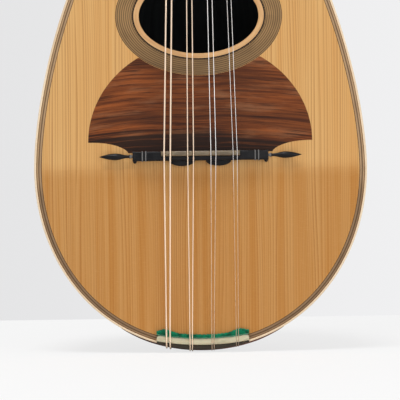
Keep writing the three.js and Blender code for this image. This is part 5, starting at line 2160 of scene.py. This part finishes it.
    def nut(self, strings: Strings) -> Surface:
        """The nut: a soft block carried across the neck, notched by a narrow bell curve at each string.

        Args:
            strings: the strings that cross it.

        Returns:
            The surface.
        """
        drawing = self.drawing
        half, height = drawing.nut_width / 2, drawing.fingerboard_thickness + self.nut_rise
        x = np.linspace(-half, half, 420)[:, None]
        crest = np.full_like(x, height)
        for entry in strings.table:
            away = (x - entry.across(entry.nut, strings.nut_spread)) / (entry.diameter * 0.75)
            crest = np.minimum(crest, height - (height - strings.nut_action + 0.05) * np.exp(-(away**6)))
        crest = crest - 0.8 * (1 - np.sqrt(np.clip((half - np.abs(x)) / 0.7, 0, 1)))
        share = np.linspace(0, math.pi, 12)
        z = drawing.nut_height + drawing.nut_thickness * np.concatenate([[0], 0.5 - 0.5 * np.cos(share), [1]])
        profile = np.concatenate([[0.0], 0.82 + 0.18 * np.sin(share) ** 0.6, [0.0]])
        return Surface(closed(x, -crest * profile, z))


@dataclass(frozen=True)
class Headstock(Placer):
    """The headstock with its veneer, the two tuner plates, and the eight posts, worms and buttons."""

    length: float = 150.0
    veneer: float = 1.5
    veneer_inset: float = 0.4
    outline_points: Pairs = (
        (14.5, 0.0), (29.0, 22.0), (26.5, 72.0), (31.0, 127.0), (13.0, 146.0), (0.0, 150.0),
    )
    posts: int = 4
    post_radius: float = 3.0
    post_cap: float = 3.25
    hub_radius: float = 3.5
    waist_start: float = 3.6
    waist_length: float = 5.4
    plate_thickness: float = 1.2
    plate_width: float = 16.0
    plate_margin: float = 14.0
    screw_head: tuple[float, float] = (1.9, 0.9)
    screw_shank: tuple[float, float] = (0.9, 7.0)
    screw_drop: float = 9.0
    top_screw_shift: float = 2.4
    ferrule_gap: float = 0.12
    ferrule_radius: float = 4.7
    gear_standoff: float = 2.2
    gear_thickness: float = 1.8
    gear_teeth: int = 14
    gear_root: float = 3.8
    gear_tip: float = 5.05
    gear_pitch: float = 4.55
    worm_pitch: float = 1.9
    worm_root: float = 1.25
    worm_tip: float = 2.5
    worm_turns: float = 2.5
    journal: float = 1.5
    collar: float = 2.3
    collar_width: float = 0.7
    lug_reach: float = 5.4
    lug_thickness: float = 1.6
    lug_width: float = 6.4
    button_start: float = 33.0
    button_length: float = 13.0
    button_radius: float = 6.5
    button_flatness: float = 0.62
    button_shares: Pairs = (
        (0.44, 0.0), (0.52, 0.02), (0.5, 0.1), (0.62, 0.2), (0.94, 0.38), (0.99, 0.5), (0.99, 0.64),
        (0.86, 0.82), (0.68, 0.94), (0.4, 0.99), (0.0, 1.0),
    )

    @property
    def half_spread(self) -> float:
        """How far across the posts stand."""
        return self.drawing.post_spread / 2

    @property
    def veneer_front(self) -> float:
        """Depth of the veneer's face."""
        return -self.drawing.seat_gap - self.veneer

    @property
    def plate_front(self) -> float:
        """Depth of the tuner plates' face against the headstock's back."""
        return self.drawing.head_thickness + self.drawing.seat_gap

    @property
    def plate_back(self) -> float:
        """Depth of the tuner plates' outer face."""
        return self.plate_front + self.plate_thickness

    @property
    def gear_middle(self) -> float:
        """Depth of the gears' middle plane, in which the worms lie."""
        return self.plate_back + self.gear_standoff + self.gear_thickness / 2

    @property
    def worm_rise(self) -> float:
        """How far above its post a worm lies."""
        return self.gear_pitch + self.worm_pitch

    def build(self) -> None:
        """Builds every piece of the headstock."""
        mahogany = MAHOGANY.make("headstock_mahogany", Grain.UPWARD)
        head = self.upright(prism(self.outline(0.0), 0.0, self.drawing.head_thickness, 0.9))
        self.piece(head, "mahogany_headstock", mahogany, "neck_wood", "headstock")
        rosewood = RIB_ROSEWOOD.make("veneer_rosewood", Grain.UPWARD)
        sheet = prism(self.outline(self.veneer_inset), self.veneer_front, -self.drawing.seat_gap * 0.2, 0.35)
        self.piece(self.upright(sheet), "rosewood_veneer", rosewood, "rosewood", "headstock_veneer")
        brass, steel = BRASS.make("tuner_brass"), STEEL.make("tuner_steel")
        bone = BUTTON_BONE.make("button_bone")
        for side, name in ((Side.BASS, "left"), (Side.TREBLE, "right")):
            self.piece(self.plate(side), f"brass_tuner_plate_{name}", brass, "brass", f"tuner_plate_{name}")
            self.piece(self.plate_screws(side), f"plate_screws_{name}", steel, "steel")
            self.piece(self.ferrules(side), f"post_ferrules_{name}", brass, "brass")
        for number in range(1, 2 * self.posts + 1):
            side = Side.BASS if number <= self.posts else Side.TREBLE
            rise = self.drawing.post_height((number - 1) % self.posts)
            post, shaft, knob = self.post(side, rise), self.worm(side, rise), self.button(side, rise)
            roller, key = f"roller_{number}", f"key_{number}"
            self.piece(post, f"brass_post_{number}", brass, "brass", f"post_{number}", body=roller)
            self.piece(shaft, f"steel_worm_{number}", steel, "steel", f"worm_shaft_{number}", body=key)
            name = f"bone_button_{number}"
            self.piece(knob, name, bone, "button_bone", f"button_{number}", body=key, crease=50.0)

    def outline(self, inset: float) -> Array:
        """The headstock's outline round its own middle: a smooth line through its points, mirrored.

        Args:
            inset: how far it is drawn in.

        Returns:
            Its points (n, 2).
        """
        points = np.maximum(np.array(self.outline_points) - [inset, 0], 0)
        points[-1, 1] -= inset
        right = np.maximum(smooth_line(points, 90), [-math.inf, 0])
        return np.concatenate([right, right[-2::-1] * [-1, 1]]) - [0, self.length / 2]

    def leant(self, *grids: Array) -> Surface:
        """Grids in the headstock's own drawing as one surface."""
        return Surface(*(self.drawing.tilted(grid) for grid in grids))

    def upright(self, plate: Array) -> Surface:
        """A plate drawn round the headstock's middle, stood up and leant back with it."""
        return self.leant(facing(plate) + [0, 0, self.length / 2])

    def plate(self, side: Side) -> Surface:
        """A tuner plate: a soft rectangle of sheet, with two bored lugs at each worm.

        Args:
            side: which side it is on.

        Returns:
            The surface.
        """
        x, front = side * self.half_spread, self.plate_front
        low = self.drawing.first_post - self.plate_margin
        high = self.drawing.post_height(self.posts - 1) + self.plate_margin
        outline = rounded(self.plate_width / 2, (high - low) / 2, 24.0, 120)
        sheet = prism(outline, 0, self.plate_thickness, 0.25)
        tall = self.gear_middle + self.journal + self.lug_thickness - front
        angle, half = np.linspace(0, math.pi, 17), self.lug_width / 2
        top = placed(half * np.cos(angle), tall - half + half * np.sin(angle))
        outline = np.concatenate([[[half, 0.4]], top, [[-half, 0.4]]]) - [0, tall / 2]
        lug = prism(outline, -self.lug_thickness / 2, self.lug_thickness / 2, 0.2)[..., [2, 1, 0]]
        reach = self.lug_reach + self.lug_thickness / 2
        rises = [self.drawing.post_height(place) + self.worm_rise for place in range(self.posts)]
        lugs = (lug + [x + end * reach, front + tall / 2, rise] for rise in rises for end in (-1, 1))
        return self.leant(facing(sheet) + [x, front, (low + high) / 2], *lugs)

    def plate_screws(self, side: Side) -> Surface:
        """Five slotted screws that hold a plate, the top one moved down from the plate's end.

        Args:
            side: which side it is on.

        Returns:
            The surface.
        """
        screw = [form * [1, -1, 1] for form in slotted_screw(*self.screw_head, *self.screw_shank)]
        rises = [self.drawing.post_height(place) - self.screw_drop for place in range(self.posts + 1)]
        rises[-1] -= self.top_screw_shift
        x = side * self.half_spread
        return self.leant(*(form + [x, self.plate_back, rise] for rise in rises for form in screw))

    def ferrules(self, side: Side) -> Surface:
        """A turned ring round each post on the veneer.

        Args:
            side: which side it is on.

        Returns:
            The surface.
        """
        inner, outer = self.post_radius + self.ferrule_gap, self.ferrule_radius
        face = [(inner, -0.75), (inner + 0.3, -0.95), (outer - 0.6, -0.8), (outer, -0.3)]
        form = turned([(inner, 0.5), *face, (outer, 0.5), (inner, 0.5)], 40)
        x, rises = side * self.half_spread, map(self.drawing.post_height, range(self.posts))
        return self.leant(*(form + [x, self.veneer_front, rise] for rise in rises))

    def post(self, side: Side, rise: float) -> Surface:
        """A post with its hub and gear.

        The gear's radius goes between root and tip with the cosine of the angle times its teeth, cut to
        flat tips and roots, and has a tooth gap on the worm's side.

        Args:
            side: which side it is on.
            rise: the post's height in the headstock's drawing.

        Returns:
            The surface.
        """
        middle, half = self.gear_middle, self.gear_thickness / 2
        neck = self.veneer_front - self.waist_start
        front, back = neck - self.waist_length, middle + half
        waist, cap, hub = self.drawing.post_waist, self.post_cap, self.hub_radius
        hub_start = self.plate_back + self.drawing.seat_gap
        profile = [
            (0, back + 0.9), (waist - 0.3, back + 0.9), (waist, back + 0.6), (waist, middle), (hub, middle),
            (hub, hub_start), (self.post_radius, hub_start), (self.post_radius, neck), (waist, neck - 0.5),
            (waist, front + 0.5), (cap - 0.1, front), (cap, front - 0.3), (cap, front - 1.3),
            (cap - 0.5, front - 2.3), (cap - 1.5, front - 2.78), (0.9, front - 2.9), (0, front - 2.9),
        ]
        teeth = np.arange(self.gear_teeth * 16) / 16
        angle = math.pi / 2 + TURN * (teeth + 0.5) / self.gear_teeth
        share = np.clip(0.5 + 0.95 * np.cos(TURN * teeth), 0, 1)
        radius = self.gear_root + (self.gear_tip - self.gear_root) * share
        gear = prism(placed(radius * np.cos(angle), radius * np.sin(angle)), middle - half, back, 0.12)
        place = [side * self.half_spread, 0, rise]
        return self.leant(turned(profile, 40) + place, facing(gear) + place)

    def worm(self, side: Side, rise: float) -> Surface:
        """A worm shaft: a turned rod with collars, and its thread.

        The thread's radius is a soft ridge that turns once for each lead along the shaft.

        Args:
            side: which side it is on.
            rise: the height of the post that it drives.

        Returns:
            The surface.
        """
        gap, journal, collar, root = self.drawing.seat_gap, self.journal, self.collar, self.worm_root
        inner = self.lug_reach + self.lug_thickness + gap
        outer = self.button_start + self.button_length * 0.6 - self.half_spread
        stop = self.lug_reach - gap
        start = stop - self.collar_width
        edge = [(collar, start + 0.1), (collar, stop - 0.15), (collar - 0.1, stop)]
        half = [(root, start), *edge, (journal, stop)]
        other = [(radius, -place) for radius, place in reversed(half)]
        tip = [(0, -inner - 0.3), (journal - 0.3, -inner - 0.3), (journal, -inner)]
        rod = about_x(turned([*tip, *other, *half, (journal, outer), (0, outer)])) * [side, 1, 1]
        lead = TURN * self.gear_pitch / self.gear_teeth
        turn = np.linspace(-self.worm_turns / 2, self.worm_turns / 2, 91)[:, None]
        along, ridge = np.array([[-0.48, -0.46, -0.24, 0.24, 0.46, 0.48], [0, 0.15, 1.15, 1.15, 0.15, 0]])
        base = root * 0.8
        fade = np.clip((self.worm_turns / 2 - np.abs(turn)) / 0.15, 0.1, 1)
        radius = base + (self.worm_tip - base) * ridge / 1.15 * fade
        angle = TURN * turn - math.pi / 2
        thread = closed(lead * turn + along, radius * np.cos(angle), radius * np.sin(angle))
        place = [side * self.half_spread, self.gear_middle, rise + self.worm_rise]
        return self.leant(rod + place, thread + place)

    def button(self, side: Side, rise: float) -> Surface:
        """A bone button: a turned profile squeezed to an oval, on a short collar.

        Args:
            side: which side it is on.
            rise: its post's height.

        Returns:
            The surface.
        """
        radius, place = smooth_line(np.array(self.button_shares), 70).T
        radius, place = np.maximum(radius, 0) * self.button_radius, self.button_length * np.clip(place, 0, 1)
        form = about_x(turned([(0.0, 0.0), *zip(radius, place)], 48)) * [side, self.button_flatness, 1]
        edge = [(1.7, -0.1), (3.2, -0.1), (3.3, 0.3), (3.3, 2.4), (2.8, 3.2), (1.7, 3.2), (1.7, -0.1)]
        collar = about_x(turned(edge, 40)) * [side, 1, 1] + [side * 0.15, 0, 0]
        seat = [side * self.button_start, self.gear_middle, rise + self.worm_rise]
        return self.leant(form + seat, collar + seat)


@dataclass(frozen=True)
class Studio:
    """The plain floor, the soft lights and the camera at the photograph's place, in metres."""

    distance: float = 1.2
    field: float = 0.2342
    sensor: float = 36.0
    centre_x: float = -0.0006
    centre_z: float = 0.0878
    roll: float = math.radians(0.775)
    light_height: float = 0.16
    floor_drop: float = 0.0005
    floor_front: float = -3.0
    floor_back: float = 0.35
    floor_half: float = 2.5
    floor_glow: float = 0.78
    floor_tone: Colour = (0.96, 0.96, 0.96, 1.0)
    world_light: float = 0.34
    left: Colour = srgb(229, 229, 230)
    right: Colour = srgb(240, 240, 241)
    panels: tuple[tuple[str, tuple[float, float, float], float, float], ...] = (
        ("key", (-0.3, -1.05, 2.3), 0.9, 41.0),
        ("fill", (1.5, -1.5, 0.6), 1.4, 10.0),
        ("front", (0.5, -2.2, 0.1), 1.6, 5.0),
    )

    def build(self, drawing: Drawing) -> None:
        """Builds the studio round the instrument.

        Args:
            drawing: what places the instrument in the frame.
        """
        self.camera(drawing)
        self.lights(drawing)
        self.floor()
        self.world()

    def camera(self, drawing: Drawing) -> None:
        """The camera looks straight at the lower soundboard, turned by the photograph's slight roll.

        Args:
            drawing: the common sizes.
        """
        data = bpy.data.cameras.new("camera")
        data.sensor_width = self.sensor
        data.lens = self.sensor * self.distance / self.field
        data.clip_start, data.clip_end = 0.05, 20.0
        camera = linked("camera", data)
        camera.location = (self.centre_x, drawing.front - self.distance, drawing.tail + self.centre_z)
        camera.rotation_euler = (math.pi / 2, self.roll, 0)
        bpy.context.scene.camera = camera

    def lights(self, drawing: Drawing) -> None:
        """Three soft panels: a high key, a fill from the treble side and a faint one from the front.

        Args:
            drawing: the common sizes.
        """
        middle = Vector((0.0, drawing.front, drawing.tail + self.light_height))
        for name, place, size, power in self.panels:
            data = bpy.data.lights.new(name, "AREA")
            data.shape, data.size, data.energy = "SQUARE", size, power
            lamp = linked(name, data)
            lamp.location = middle + Vector(place)
            lamp.visible_camera = False
            lamp.rotation_euler = Vector(place).to_track_quat("Z", "Y").to_euler()

    def floor(self) -> None:
        """A pale floor just under the instrument, which glows for the camera and ends behind it."""
        recipe = Recipe("pale_floor")
        tone = recipe.noise([value / 90 for value in recipe.coordinates()], 3.0)
        colour = recipe.mix(tone, srgb(250, 250, 250), srgb(252, 252, 252))
        recipe.close(Base_Color=colour, Roughness=0.75, Specular_IOR_Level=0.2)
        shader = recipe.output.inputs[0].links[0].from_socket
        glow = recipe.node("ShaderNodeEmission", sockets={0: self.floor_tone, 1: 1.0})
        seen = Number(recipe, recipe.node("ShaderNodeLightPath").outputs["Is Camera Ray"])
        recipe.mixed_shader(seen * self.floor_glow, shader, glow.outputs[0])
        low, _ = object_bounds()
        front, back, half = self.floor_front, self.floor_back, self.floor_half
        plan = ((-half, front), (half, front), (half, back), (-half, back))
        mesh = bpy.data.meshes.new("floor")
        mesh.from_pydata([(x, y, low[2] - self.floor_drop) for x, y in plan], [], [(0, 1, 2, 3)])
        mesh.materials.append(recipe.owner)
        linked("floor", mesh)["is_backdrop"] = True

    def world(self) -> None:
        """A pale grey world for the camera and mirrors, darker to the left, and a dimmer one that lights."""
        recipe = Recipe("studio_world", world=True)
        bpy.context.scene.world = recipe.owner
        place = recipe.node("ShaderNodeTexCoord").outputs["Generated"]
        across = Number(recipe, recipe.node("ShaderNodeSeparateXYZ", sockets={0: place}).outputs[0])
        path = recipe.node("ShaderNodeLightPath").outputs
        rays = (Number(recipe, path[f"Is {kind} Ray"]) for kind in ("Camera", "Glossy", "Transmission"))
        camera, glossy, through = rays
        tone = recipe.mix(across.clear(-0.12, 0.12), self.left, self.right)
        light = recipe.node("ShaderNodeBackground", sockets={0: (1.0, 1.0, 1.0, 1.0), 1: self.world_light})
        shown = recipe.node("ShaderNodeBackground", sockets={0: tone, 1: 1.0})
        seen = (camera + glossy + through).clear(0.0, 0.5)
        recipe.mixed_shader(seen, light.outputs[0], shown.outputs[0])


def main() -> None:
    """Builds the instrument's pieces in order."""
    logging.basicConfig(level=logging.INFO, format="%(message)s")
    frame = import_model()
    bpy.context.scene.view_settings.view_transform = "Standard"
    drawing = Drawing.from_frame()
    strings = Strings(drawing)
    tail = TailEnd(drawing)
    Soundboard(drawing).build()
    Bridge(drawing).build(strings.saddle_places())
    Bowl(drawing).build(frame["nodes"])
    Neck(drawing).build(strings)
    Headstock(drawing).build()
    tail.build(strings.hook_places())
    strings.build(tail)
    Studio().build(drawing)


if __name__ == "__main__":
    main()
